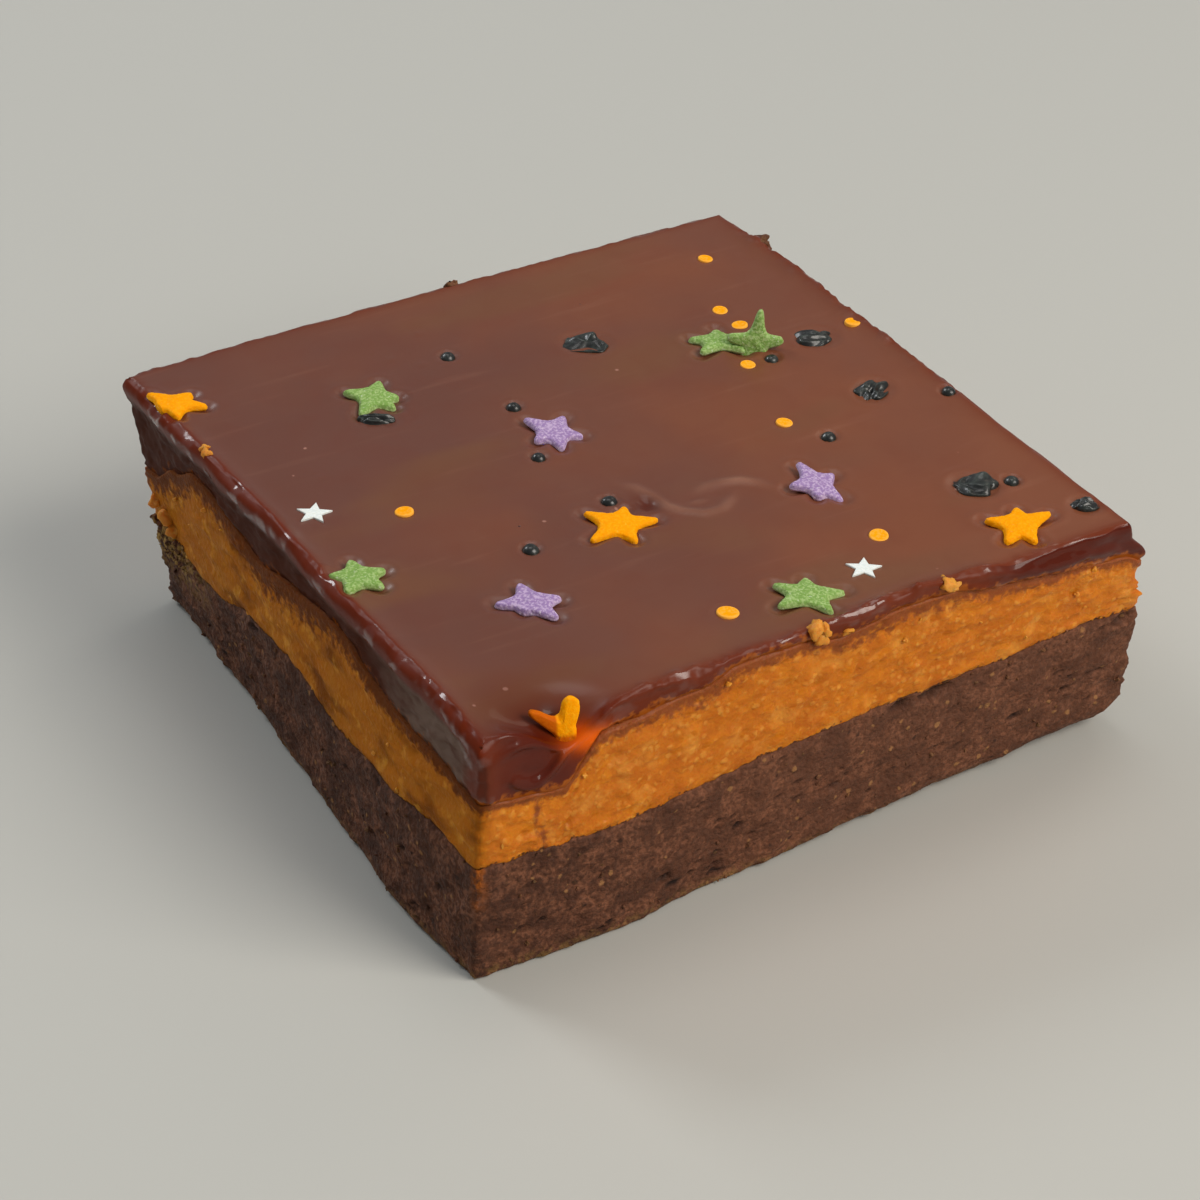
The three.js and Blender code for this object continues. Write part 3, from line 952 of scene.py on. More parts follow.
@dataclass(frozen=True)
class ChocolateFinish(Finish):
    """Smooth set chocolate: satin on its level top, thin, wet and redder along the cut rims."""

    name: str = "chocolate_finish"
    cool: Colour = shade(102, 60, 47)
    # warm: the colour of the painted warm light on the right of the chocolate
    warm: Colour = shade(122, 68, 42)
    olive: Colour = shade(112, 70, 44)
    rim: Colour = shade(103, 36, 14)
    # side: the colour of the painted shade on the lower left wall
    side: Colour = shade(72, 34, 21)
    bloom: Colour = shade(126, 106, 94)
    thin: Colour = shade(160, 84, 22)
    glow: Colour = shade(248, 104, 4)
    # fold: the colour of the painted highlights on the top's folds, also used for faint pale streaks
    fold: Colour = shade(160, 114, 92)
    # pin: the colour of the painted shade in the pinholes
    pin: Colour = shade(66, 30, 22)
    # The darker colour of the corner pool, also used as painted shade in one dent.
    pool_and_dent_shade: Colour = shade(74, 18, 6)
    fleck: Colour = shade(176, 128, 112)

    def wire(self, w: Surface, effects: SharedEffects) -> None:
        """Wires the cloudy top with painted warm light to the right, painted highlights on its folds and
        painted shade in its pinholes and one dent, the wet rims, and the veiled left side darkened with
        painted shade.

        Args:
            w: The material\'s wiring.
            effects: The shared node groups.
        """
        rim, wet, side, glow = (w.marked(name) for name in ("rim", "wet", "side", "glow"))
        # Painted light: the chocolate is lighter and warmer towards the right, where the warm light falls.
        painted_warm_light = w.fit(w.sum("ADD", w.across(turn=0.35), w.sway(26, 3, 0.022)), -0.045, 0.045)
        bands = w.noise(14, 2, w.place((0.35, 1.0, 1.0), turn=0.7))
        streaks = w.noise(1.3, 2, w.place((0.08, 1.0, 1.0), turn=-0.5))
        drag = w.noise(1.6, 3, w.place((1.0, 0.45, 1.0)))
        veil = w.times(w.marked("veil"), w.fit(drag, 0.3, 0.6, 0.25, 0.75))
        thin = w.sum("ADD", w.marked("thin"), w.sway(0.9, 4, 0.35))
        # Painted shade: the pinholes are darkened, and dented by the bump below.
        pins = effects.specks(w, 330, share=0.05, size=0.07, softness=0.02)
        colour = w.coats(
            self.cool,
            (painted_warm_light, 1, self.warm),
            (w.fit(bands, 0.54, 0.7, 0, 0.7), 1, self.olive),
            # Faint pale streaks in the colour of the painted fold highlights.
            (w.fit(streaks, 0.6, 0.8, 0, 0.1), 1, self.fold),
            (effects.specks(w, 260, share=0.12, size=0.08, softness=0.03), 0.7, self.fleck),
            (effects.patches(w, 210, middle=0.56, spread=0.16), 0.12, self.rim),
            # Painted highlight: the swirl's folds are tinted paler.
            (w.marked("fold"), 0.6, self.fold),
            (rim, 1, self.rim),
            # The corner pool and the front wall's right end turn darker; in the dent at the swirl's start
            # this is painted shade.
            (wet, 0.8, self.pool_and_dent_shade),
            # Painted shade: the lower left wall is darkened.
            (side, 1, self.side),
            (veil, 1, self.bloom),
            (w.fit(thin, 0.35, 0.8, 0, 0.9), 1, self.thin),
            (glow, 1, self.glow),
            (pins, 1, self.pin),
        )
        dashes = w.fit(w.noise(3.4, 2), 0.53, 0.64, 0.03, 1.0)
        gloss = w.sum("SUBTRACT", w.sum("MAXIMUM", w.times(rim, dashes), wet), glow)
        gloss = w.sum("SUBTRACT", gloss, w.times(wet, 0.6))
        dull = w.sum("ADD", w.times(w.marked("wall"), 0.34), w.times(side, 0.07))
        dull = w.sum("MAXIMUM", dull, w.sum("MAXIMUM", w.times(rim, 0.34), w.times(wet, 0.38)))
        w.set(
            Specular_IOR_Level=0.3,
            Coat_Roughness=0.06,
            Subsurface_Weight=0.06,
            Subsurface_Radius=(1.0, 0.35, 0.2),
            Subsurface_Scale=0.8 * MM,
        )
        w.set(
            Base_Color=colour,
            Roughness=w.between(rim, w.fit(w.noise(9), 0.3, 0.7, 0.3, 0.4), 0.36),
            Normal=w.bumps(
                (w.noise(0.9, 4), 0.1, 0.05),
                (w.noise(5), 0.18, 0.1),
                (w.sum("SUBTRACT", 1.0, pins), 0.5, 0.15),
            ),
            Coat_Weight=w.fit(gloss, 0, 1, 0, 0.9),
            Specular_IOR_Level=w.sum("SUBTRACT", 0.42, dull),
        )


@dataclass(frozen=True)
class CaramelFinish(Finish):
    """Grainy caramel: orange-brown, with lighter grains, browner smears and a wet side."""

    name: str = "caramel_finish"
    body: Colour = shade(212, 123, 8)
    deep: Colour = shade(172, 82, 2)
    light: Colour = shade(232, 164, 66)
    smear: Colour = shade(138, 68, 16)
    crumb: Colour = shade(88, 50, 26)
    stain: Colour = shade(110, 58, 12)
    wet: Colour = shade(168, 102, 34)

    def wire(self, w: Surface, effects: SharedEffects) -> None:
        """Wires the grains, the stained wet side, the smears under the rim and the crumb dirt.

        Args:
            w: The material\'s wiring.
            effects: The shared node groups.
        """
        wet = w.marked("wet")
        fine = effects.patches(w, 820, middle=0.5, spread=0.12)
        grains = effects.specks(w, 1150, share=0.6, size=0.42, softness=0.34)
        stains = w.fit(w.noise(4.5, 4, w.place((1.0, 0.5, 1.0))), 0.48, 0.68, 0, 0.85)
        gold = w.fit(w.noise(2.2, 4), 0.56, 0.7, 0, 0.4)
        smear = w.fit(w.sum("ADD", w.marked("smear"), w.sway(0.9, 4, 0.28)), 0.25, 0.85)
        dirt = w.fit(w.sum("ADD", w.marked("dirt"), w.sway(0.6, 3, 0.3)), 0.45, 0.7)
        colour = w.coats(
            self.body,
            (effects.patches(w, 210, middle=0.5, spread=0.2), 0.45, self.deep),
            (fine, 0.36, self.deep),
            (w.fit(w.noise(3.2), 0.52, 0.7, 0, 0.35), 1, self.light),
            (grains, 0.4, self.light),
            (w.marked("grain"), 0.9, self.light),
            (wet, 0.7, self.wet),
            (w.times(wet, stains), 1, self.stain),
            (w.times(wet, gold), 1, self.light),
            (smear, 1, self.smear),
            (w.times(smear, w.times(wet, 0.75)), 1, self.crumb),
            (dirt, 1, self.crumb),
        )
        w.set(
            Specular_IOR_Level=0.2,
            Subsurface_Weight=0.35,
            Subsurface_Radius=(1.0, 0.42, 0.12),
            Subsurface_Scale=1.6 * MM,
        )
        w.set(
            Base_Color=colour,
            Roughness=w.between(wet, w.fit(fine, 0, 1, 0.5, 0.64), 0.45),
            Normal=w.bumps((w.noise(0.6, 4), 0.7, 0.24), (grains, 0.5, 0.14)),
            Specular_IOR_Level=w.fit(wet, 0, 1, 0.3, 0.02),
        )


@dataclass(frozen=True)
class CrumbFinish(Finish):
    """Baked chocolate crumb: dark and matt, with pores darkened by painted shade, tan flecks and slightly
    moist grains.
    """

    name: str = "crumb_finish"
    body: Colour = shade(127, 80, 56)
    dark: Colour = shade(78, 46, 31)
    deep: Colour = shade(58, 33, 22)
    # pore: the colour of the painted shade in the pores
    pore: Colour = shade(34, 19, 13)
    fleck: Colour = shade(168, 120, 72)
    dry: Colour = shade(164, 128, 66)
    stain: Colour = shade(176, 92, 18)

    def wire(self, w: Surface, effects: SharedEffects) -> None:
        """Wires the grains, the flecks, the dry and stained places, and the painted shade in the pores.

        Args:
            w: The material\'s wiring.
            effects: The shared node groups.
        """
        fine = effects.patches(w, 1500, middle=0.52, spread=0.12)
        flecks = effects.specks(w, 1000, share=0.16, size=0.3, softness=0.16)
        colour = w.coats(
            self.body,
            (effects.patches(w, 300, middle=0.5, spread=0.15), 1, self.dark),
            (fine, 0.7, self.dark),
            (w.fit(w.noise(0.55, 4), 0.44, 0.58, 0, 0.55), 1, self.deep),
            (w.fit(w.across(), -0.035, 0.0, 0, 0.26), 1, self.body),
            (flecks, 0.6, self.fleck),
            (w.times(w.marked("dry"), w.fit(w.noise(0.8), 0.4, 0.62)), 1, self.dry),
            (w.times(w.marked("stain"), w.fit(w.noise(1.1), 0.35, 0.6)), 1, self.stain),
            # Painted shade: scattered tiny pores and the marked pores and holes are darkened.
            (effects.specks(w, 760, share=0.2, size=0.2, softness=0.1), 0.6, self.pore),
            (w.marked("pore"), 1, self.pore),
        )
        w.set(Specular_IOR_Level=0.22, Subsurface_Weight=0.03, Subsurface_Scale=0.6 * MM)
        w.set(
            Base_Color=colour,
            Roughness=w.fit(fine, 0, 1, 0.62, 0.85),
            Normal=w.bumps((w.noise(0.55, 5), 1.0, 0.36), (flecks, 0.4, 0.15)),
        )


@dataclass(frozen=True)
class SugarFinish(Finish):
    """Pressed sugar: fine matt grains with a paler edge and tiny glints."""

    body: Colour
    pale: Colour
    grain_depth: float = 0.1
    glow: float = 0.25
    sparkle: float = 0.35
    shine: float = 0.15
    film: Colour = shade(190, 78, 6)
    glint: Colour = shade(250, 250, 245)

    def wire(self, w: Surface, effects: SharedEffects) -> None:
        """Wires the grains, the paler edge, the film of chocolate and the glints.

        Args:
            w: The material\'s wiring.
            effects: The shared node groups.
        """
        grain = w.noise(0.3, 4)
        colour = w.coats(
            self.body,
            (w.fit(grain, 0.43, 0.63, 0, 0.6), 1, self.pale),
            (w.marked("edge"), 0.7, self.pale),
            (w.marked("film"), 1, self.film),
            (effects.specks(w, 3400, share=0.16, size=0.26, softness=0.1), self.sparkle, self.glint),
        )
        w.set(
            Base_Color=colour,
            Roughness=w.fit(grain, 0.3, 0.7, 0.42, 0.62),
            Normal=w.bumps((w.noise(0.2, 4), 0.6, self.grain_depth)),
            Specular_IOR_Level=self.shine,
            Subsurface_Weight=self.glow,
            Subsurface_Radius=(1.0, 0.9, 0.8),
            Subsurface_Scale=0.5 * MM,
        )


@dataclass(frozen=True)
class BlackSugarFinish(Finish):
    """Black coated sugar: glossy, with a greyish, slightly green bloom at its lower edge."""

    body: Colour = shade(19, 22, 21)
    bloom: Colour = shade(66, 76, 70)
    gloss: float = 0.3

    def wire(self, w: Surface, effects: SharedEffects) -> None:
        """Wires the bloom and the glossy coat.

        Args:
            w: The material\'s wiring.
            effects: The shared node groups.
        """
        colour = w.coats(
            self.body,
            (effects.patches(w, 900, middle=0.6, spread=0.12), 0.35, self.bloom),
            (w.marked("edge"), 0.4, self.bloom),
        )
        w.set(
            Base_Color=colour,
            Roughness=w.fit(w.noise(0.5), 0.3, 0.7, self.gloss, self.gloss + 0.14),
            Normal=w.bumps((w.noise(0.35), 0.3, 0.06)),
            Specular_IOR_Level=0.4,
            Coat_Weight=0.3,
            Coat_Roughness=0.1,
        )


@dataclass
class Kind:
    """One kind of piece: what it is called, the solids that it stands for and its slot."""

    name: ClassVar[str] = ""
    nodes: ClassVar[tuple[str, ...]] = ()
    slot: ClassVar[str | None] = None
    flat_angle: ClassVar[float | None] = None

    def model(self) -> bpy.types.Object:
        """Models the piece in millimetres of the slice's square."""
        raise NotImplementedError

    def make(self, finish: bpy.types.Material, keep: Box) -> None:
        """Models the piece, brings it to metres and gives it its finish and its body.

        Args:
            finish: Its finish.
            keep: The box that it stays inside, in metres.
        """
        piece = self.model()
        points = (Bench.points(piece) + np.array(BOX_SHIFT)) * MM
        Bench.move(piece, np.clip(points, np.array(keep[0]), np.array(keep[1])))
        Bench.take(piece)
        bpy.ops.object.shade_smooth()
        piece.data.materials.clear()
        piece.data.materials.append(finish)
        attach(piece, BODY)
        if self.nodes:
            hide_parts(*self.nodes)
        if self.flat_angle is not None:
            Bench.take(piece)
            bpy.ops.object.shade_smooth_by_angle(angle=math.radians(self.flat_angle))
        Bench.clear()
        log.info("%s: %d faces", piece.name, len(piece.data.polygons))


@dataclass(frozen=True)
class Hole:
    """One larger pore in a side: its place along the side, its height, and its size."""

    side: Side
    place: float
    height: float
    length: float
    width: float
    depth: float = 0.9
    slope: float = 0.15

    def inside(self, at: Spots) -> np.ndarray:
        """How much spots lie inside the pore.

        Args:
            at: The spots.

        Returns:
            One value for each spot, from 0 to 1.
        """
        along = (at.u if self.side in (Side.FRONT, Side.BACK) else at.v) - self.place
        above = at.z - self.height - self.slope * along
        ragged = 1 + 0.35 * Grit.noise(at.points + 1.9, 0.8)
        away = np.hypot(along / (self.length / 2), above / (self.width / 2)) * ragged
        return FORM.near(self.side, at, 1.5) * (1 - smooth(away, 0.6, 1.2))


@dataclass
class WalledLayer(Kind):
    """A layer whose fine side walls run round the slice, under a level or wavy top."""

    columns: int = 270
    rows: int = 36

    def cage(self) -> tuple[bpy.types.Object, Spots, np.ndarray]:
        """Models a square loop drawn down in rows and closed with rings at both ends.

        Returns:
            The piece, its spots on the square, and their share of the way down.
        """
        Bench.clear()
        bpy.ops.mesh.primitive_plane_add(size=FORM.side)
        piece = Bench.named(self.name)
        Bench.open_edit()
        bpy.ops.mesh.delete(type="ONLY_FACE")
        bpy.ops.mesh.select_all(action="SELECT")
        bpy.ops.mesh.subdivide(number_cuts=self.columns - 1)
        for _ in range(self.rows):
            Bench.draw_loop(1)
        Bench.close_loop(FORM.half)
        Bench.pick(piece, lambda points: points[:, 2] > -0.5)
        Bench.close_loop(FORM.half)
        Bench.seal()
        u, v, level = Bench.points(piece).T
        return piece, Spots(u, v), -level / self.rows

    def ragged(self, at: Spots) -> np.ndarray:
        """Returns how far the seam between base and filling wavers on the sides."""
        return 0.28 * Grit.rough(at.sheet, 1.1, 3) * np.where(FORM.inset(at) < WALL, 1, 0)


@dataclass
class BaseLayer(WalledLayer):
    """The dense chocolate base, with its open crumb on the cut sides."""

    name = "brownie_base_crumb"
    nodes = ("brownie_base",)
    slot = "baked_base"
    columns: int = 280
    rows: int = 48
    crumb_depth: float = 0.2
    crumb_grain: float = 2.1
    shoulder: float = 0.9
    holes: tuple[Hole, ...] = (
        Hole(Side.FRONT, -19.1, 4.4, 1.7, 0.7),
        Hole(Side.FRONT, 31.8, 8.3, 1.9, 0.6),
        Hole(Side.FRONT, 35.5, 9.3, 2.4, 0.5),
        Hole(Side.FRONT, -12.0, 3.0, 0.9, 0.5),
        Hole(Side.FRONT, 9.5, 15.1, 2.4, 1.2, 1.5),
        Hole(Side.FRONT, 14.0, 15.1, 4.4, 1.4, 1.8),
        Hole(Side.FRONT, 38.0, 15.8, 2.6, 1.5, 1.7),
        Hole(Side.FRONT, 22.0, 6.4, 1.2, 0.4),
        Hole(Side.FRONT, 2.0, 7.6, 0.9, 0.5),
        Hole(Side.LEFT, -14.0, 12.4, 2.0, 0.7),
        Hole(Side.LEFT, 12.0, 12.6, 2.4, 0.8),
        Hole(Side.LEFT, 28.0, 9.4, 1.6, 0.9),
    )

    def relief(self, at: Spots) -> tuple[np.ndarray, np.ndarray]:
        """Crumb on the sides.

        Args:
            at: The spots.

        Returns:
            The relief, outwards, and how much each spot lies in a pore, which the finish darkens with painted
            shade.
        """
        points = at.points
        lumps = self.crumb_depth * Grit.noise(points, self.crumb_grain)
        lumps += 0.12 * (np.abs(Grit.rough(points + 7.7, 1.3, 3)) - 0.35)
        lumps += 0.1 * Grit.rough(points + 3.1, 0.7, 2)
        lumps += 0.26 * Grit.grains(points, (1.0, 1.0, 0.85), share=0.5, seed=3, size=(0.3, 0.35))
        # The pore mask says where the finish darkens with painted shade.
        pore = Grit.pits(points, (2.6, 2.6, 1.3), share=0.26, seed=8, size=(0.1, 0.24), edge=0.12)
        fine = Grit.pits(points, (1.2, 1.2, 0.7), share=0.5, seed=5, size=(0.12, 0.18), edge=0.14)
        pore = np.maximum(pore, 0.75 * fine)
        deep = 0.4 * pore
        for hole in self.holes:
            inside = hole.inside(at)
            deep = np.maximum(deep, hole.depth * inside)
            pore = np.maximum(pore, inside)
        return lumps - deep, pore

    def model(self) -> bpy.types.Object:
        """Models the layer.

        Returns:
            The piece.
        """
        piece, flat, share = self.cage()
        wall = FORM.inset(flat) < WALL
        top = FORM.seam_height(FORM.base_seam, flat) + self.ragged(flat)
        at = Spots(flat.u, flat.v, top * (1 - share))
        lumps, pore = self.relief(at)
        ease = smooth(np.minimum(top - at.z, at.z + 0.25), 0, self.shoulder)
        shared = (FORM.shared_grit(at) - 0.15) * (0.3 + 0.7 * smooth(at.z, 0, 2))
        Bench.move(piece, FORM.on_slice(at, np.where(wall, mix(shared, lumps, ease), 0)))
        # Painted shade: darkens the pores and holes.
        Bench.mark(piece, "pore", np.where(wall, pore * ease, 0))
        dry_end = FORM.near(Side.LEFT, at, 2) * smooth(at.v, 22, 36) * smooth(at.z, 4, 9)
        foot = 0.35 * bell(at.z - 0.4, 0.8)
        Bench.mark(piece, "dry", np.maximum(dry_end, foot))
        corner = FORM.near(Side.LEFT, at, 1.4) * FORM.near(Side.FRONT, at, 1.4)
        Bench.mark(piece, "stain", corner * smooth(at.z, 7, 13))
        return piece


@dataclass
class CaramelLayer(WalledLayer):
    """The caramel filling, grainy at the front and drawn smooth by the knife on the left."""

    name = "caramel_filling_cut"
    nodes = ("caramel_filling",)
    slot = "caramel"
    shoulder: float = 0.7
    tuck: float = 0.25
    drip_place: float = -33.4
    smear_reach: FourSides = FourSides(
        left=profile(
            (-40, 0.8), (-20, 1.2), (-6, 2.2), (4, 3.0), (14, 2.2), (22, 1.6), (30, 2.4), (40, 1.6)
        ),
        front=profile(
            (-40, 0.7), (-30, 0.6), (-24, 1.0), (-14, 1.6), (-6, 1.0), (4, 1.6), (12, 1.6), (20, 1.2),
            (40, 0.7),
        ),
        right=profile((-40, 0.6), (40, 0.9)),
        back=profile((-40, 0.8), (40, 0.8)),
    )

    def relief(self, at: Spots) -> np.ndarray:
        """Grains on the sides.

        Args:
            at: The spots.

        Returns:
            The relief, outwards.
        """
        points = at.points
        bumps = 0.3 * Grit.grains(points, 0.95, share=0.85, seed=4, size=(0.35, 0.35))
        holes = 0.28 * Grit.pits(points, 1.5, share=0.45, seed=6, size=(0.18, 0.24), edge=0.16)
        grainy = 0.2 * Grit.rough(points, 1.3, 3) + bumps - holes - 0.16
        drag = Spots(at.u, at.v + 1.1 * at.z, at.z).points
        torn = 0.25 + 0.6 * smooth(Grit.noise(points + 2.2, 5.0), -0.1, 0.5)
        drawn = 0.22 * Grit.rough(drag, (3.0, 4.5, 1.6), 3) + torn * (bumps - holes) - 0.1
        return mix(grainy, drawn, FORM.near(Side.LEFT, at, 1.5))

    def model(self) -> bpy.types.Object:
        """Models the layer.

        Returns:
            The piece.
        """
        piece, flat, share = self.cage()
        floor = FORM.seam_height(FORM.base_seam, flat) + self.ragged(flat) - self.tuck
        top = FORM.seam_height(FORM.filling_seam, flat) + self.tuck
        at = Spots(flat.u, flat.v, mix(top, floor, share))
        below, above = top - at.z, at.z - floor
        ease = smooth(np.minimum(below, above), 0, self.shoulder + self.tuck)
        shared = FORM.shared_grit(at) - np.where(above < below, 0.3, 0.1)
        rough = np.where(FORM.inset(at) < WALL, mix(shared, self.relief(at), ease), -0.3)
        Bench.move(piece, FORM.on_slice(at, rough))
        sides, front = self.smear_reach, FORM.near(Side.FRONT, at, 2)
        reach = mix(sides.right.at(at.v), sides.left.at(at.v), FORM.near(Side.LEFT, at, 2))
        reach = mix(reach, sides.front.at(at.u), front)
        drip = 0.9 * bell(at.u - self.drip_place + 0.12 * (at.z - 18), 0.5) * front
        Bench.mark(piece, "smear", np.maximum(1 - (below - self.tuck) / (2 * reach), drip))
        Bench.mark(piece, "wet", FORM.near(Side.LEFT, at, 2.5))
        Bench.mark(piece, "dirt", 0.55 - (above - self.tuck) / 1.5)
        Bench.mark(piece, "grain", 0)
        return piece


def nearest_spoke(x: np.ndarray, y: np.ndarray, arms: Arms) -> tuple[np.ndarray, np.ndarray]:
    """Finds the nearest place on spokes that start at the origin.

    Args:
        x: Places of the points in one direction.
        y: Their places in the other.
        arms: Direction in degrees and length of each spoke.

    Returns:
        The nearest places.
    """
    near_x, near_y, best = 0 * x, 0 * y, np.hypot(x, y)
    for direction, length in arms:
        ax, ay = math.cos(math.radians(direction)), math.sin(math.radians(direction))
        along = np.clip(x * ax + y * ay, 0, length)
        away = np.hypot(x - along * ax, y - along * ay)
        nearer = away < best
        near_x, near_y = np.where(nearer, along * ax, near_x), np.where(nearer, along * ay, near_y)
        best = np.minimum(away, best)
    return near_x, near_y


@dataclass(frozen=True)
class Seat:
    """Where a sugar shape sits in the topping, and the hollow that it makes there.

    The shape is taken as spokes from its middle, each with a direction in degrees and a length.
    """

    u: float
    v: float
    arms: Arms
    reach: float
    depth: float
    width: float
    lip: float = 0.0

    def hollow(self, u: np.ndarray, v: np.ndarray) -> np.ndarray:
        """Change of the topping's height at places of the square.

        Args:
            u: Places from left to right.
            v: Places from front to back.

        Returns:
            The change of height.
        """
        du, dv = u - self.u, v - self.v
        spoke_u, spoke_v = nearest_spoke(du, dv, self.arms)
        away = np.hypot(du - spoke_u, dv - spoke_v) - self.reach
        sunk = -self.depth * np.where(away < 0, 1, bell(away, self.width))
        return sunk + self.lip * bell(away - 2.1 * self.width, 0.8 * self.width)


class SugarColour(Enum):
    """Colours of the puffed stars."""

    GREEN = "green"
    ORANGE = "orange"
    PURPLE = "purple"


@dataclass
class PuffedStar:
    """One puffed sugar star: its place, and the direction in degrees and length of each arm."""

    u: float
    v: float
    arms: Arms
    tilt: tuple[float, float] = (0, 0)


@dataclass
class UprightStar:
    """One puffed star on edge. Its arms' directions are counted from straight up, to the left."""

    u: float
    v: float
    z: float
    turn: float
    lean: float
    arms: Arms
    tip: float = 0.52
    film: bool = False


@dataclass
class StarModel:
    """The form of a puffed star: long round arms, a domed middle and a sugary surface."""

    valley: float = 1.6
    height: float = 1.4
    overhang: float = 0.3
    grain: float = 0.05
    lumps: float = 0.09
    tuck: float = 0.55
    tip: float = 0.52

    def model(self, name: str, arms: Arms, seed: int, tip: float = 0.52) -> bpy.types.Object:
        """Models one star lying flat, its middle at the origin.

        Args:
            name: The piece's name.
            arms: Direction in degrees and length of each arm.
            seed: Picks its surface.
            tip: Half of the first arm's width at its tip.

        Returns:
            The star.
        """
        Bench.clear()
        bpy.ops.mesh.primitive_circle_add(vertices=3 * len(arms), radius=self.valley, fill_type="NGON")
        star = Bench.named(name)
        Bench.move(star, self.outline(arms, tip))
        Bench.open_edit("FACE")
        Bench.draw_faces(0.6 * self.height)
        bpy.ops.mesh.inset(thickness=0.16, depth=0.25 * self.height)
        bpy.ops.mesh.inset(thickness=0.2, depth=0.08 * self.height)
        bpy.ops.mesh.poke()
        Bench.seal()
        rounding = star.modifiers.new("rounding", "SUBSURF")
        rounding.levels = rounding.render_levels = 4
        bpy.ops.object.modifier_apply(modifier=rounding.name)
        points = Bench.points(star)
        outwards = points / np.maximum(np.linalg.norm(points, axis=1, keepdims=True), 0.1)
        rough = self.grain * Grit.rough(points + 5.3 * seed, 0.34, 2)
        rough += self.lumps * Grit.noise(points + 3.7 * seed, 1.1)
        away = np.hypot(points[:, 0], points[:, 1])
        points += outwards * rough[:, None]
        dome = 0.12 * bell(away, 1.6) - 0.16 * smooth(away, 2.2, 4)
        points[:, 2] += dome * (points[:, 2] > 0)
        spokes = np.stack(nearest_spoke(points[:, 0], points[:, 1], arms), -1)
        under = self.tuck * (1 - smooth(points[:, 2], -0.6, 0.1))
        points[:, :2] += (spokes - points[:, :2]) * under[:, None]
        Bench.move(star, points)
        Bench.mark(star, "edge", 1 - smooth(points[:, 2], -0.2, 0.45))
        Bench.mark(star, "film", 0)
        return star

    def outline(self, arms: Arms, tip: float) -> np.ndarray:
        """Outline of a star: two points at each tip, and one in the valley after it.

        Args:
            arms: Direction in degrees and length of each arm.
            tip: Half of the first arm's width at its tip.

        Returns:
            The points, one in each row.
        """
        points = []
        for arm, (angle, length) in enumerate(arms):
            span = (arms[(arm + 1) % len(arms)][0] - angle) % 360
            direction, notch = math.radians(angle), math.radians(angle + span / 2)
            ahead, aside = math.cos(direction), math.sin(direction)
            reach = length + self.overhang
            half = tip if arm == 0 else self.tip
            for side in (-half, half):
                points.append((reach * ahead - side * aside, reach * aside + side * ahead))
            valley = self.valley * math.sqrt(72 / span)
            points.append((valley * math.cos(notch), valley * math.sin(notch)))
        flat = np.array(points)
        return np.column_stack([flat, np.full(len(flat), -self.height / 2)])


@dataclass
class PuffedStars(Kind):
    """All puffed stars of one colour."""

    nodes = ("chocolate_topping",)
    colour: SugarColour
    finish: SugarFinish
    lying: tuple[PuffedStar, ...]
    upright: tuple[UprightStar, ...] = ()
    form: StarModel = field(default_factory=StarModel)
    slim_form: StarModel = field(default_factory=lambda: StarModel(valley=1.15, tip=0.78))
    rise: float = 0.46
    sunk: float = 0.4
    rim_trim: float = 39.6

    @property
    def name(self) -> str:
        """What the piece is called."""
        return f"{self.colour.value}_stars"

    def place(self, star: PuffedStar) -> Matrix:
        """Returns the matrix that lays a star in the topping."""
        lift = FORM.level(star.u, star.v) + self.rise - self.sunk * self.form.height
        return at_place(star.u, star.v, lift) @ turned(star.tilt[0], "X") @ turned(star.tilt[1], "Y")

    @staticmethod
    def stand(star: UprightStar) -> Matrix:
        """Returns the matrix that stands a star on edge."""
        up = Matrix.Rotation(math.pi / 2 - math.radians(star.lean), 4, "X") @ turned(90, "Z")
        return at_place(star.u, star.v, star.z) @ turned(star.turn) @ up

    def model(self) -> bpy.types.Object:
        """Models the stars as one piece.

        Returns:
            The piece.
        """
        parts = []
        for n, star in enumerate([*self.lying, *self.upright]):
            if isinstance(star, UprightStar):
                part = self.slim_form.model(f"star_{n}", star.arms, n, star.tip)
                if star.film:
                    self.cover(part)
                part.data.transform(self.stand(star))
            else:
                part = self.form.model(f"star_{n}", star.arms, n)
                part.data.transform(self.place(star))
            if abs(star.u) + star.arms[0][1] > self.rim_trim:
                self.trim(part, math.copysign(1, star.u))
            parts.append(part)
        return Bench.join(self.name, parts)

    @staticmethod
    def cover(part: bpy.types.Object) -> None:
        """Keeps that all of a star but its first arm lies under a thin film of chocolate.

        Args:
            part: The star.
        """
        along, aside, _ = Bench.points(part).T
        bare = smooth(along, -0.2, 0.5) * (1 - smooth(aside, 1.1, 1.5))
        part.data.attributes["film"].data.foreach_set("value", (0.85 * (1 - bare)).astype(np.float32))

    def trim(self, part: bpy.types.Object, side: float) -> None:
        """Cuts a star where it would pass the rim.

        Args:
            part: The star.
            side: -1 at the left rim and 1 at the right one.
        """
        Bench.take(part)
        Bench.open_edit()
        plane = {"plane_co": (side * self.rim_trim, 0, 0), "plane_no": (side, 0, 0)}
        bpy.ops.mesh.bisect(use_fill=True, clear_outer=True, **plane)
        Bench.close_edit()

    def seats(self) -> list[Seat]:
        """Returns the hollows that the lying stars make."""
        return [
            Seat(star.u, star.v, star.arms, reach=0.42, depth=0.42, width=0.6, lip=0.07)
            for star in self.lying
        ]


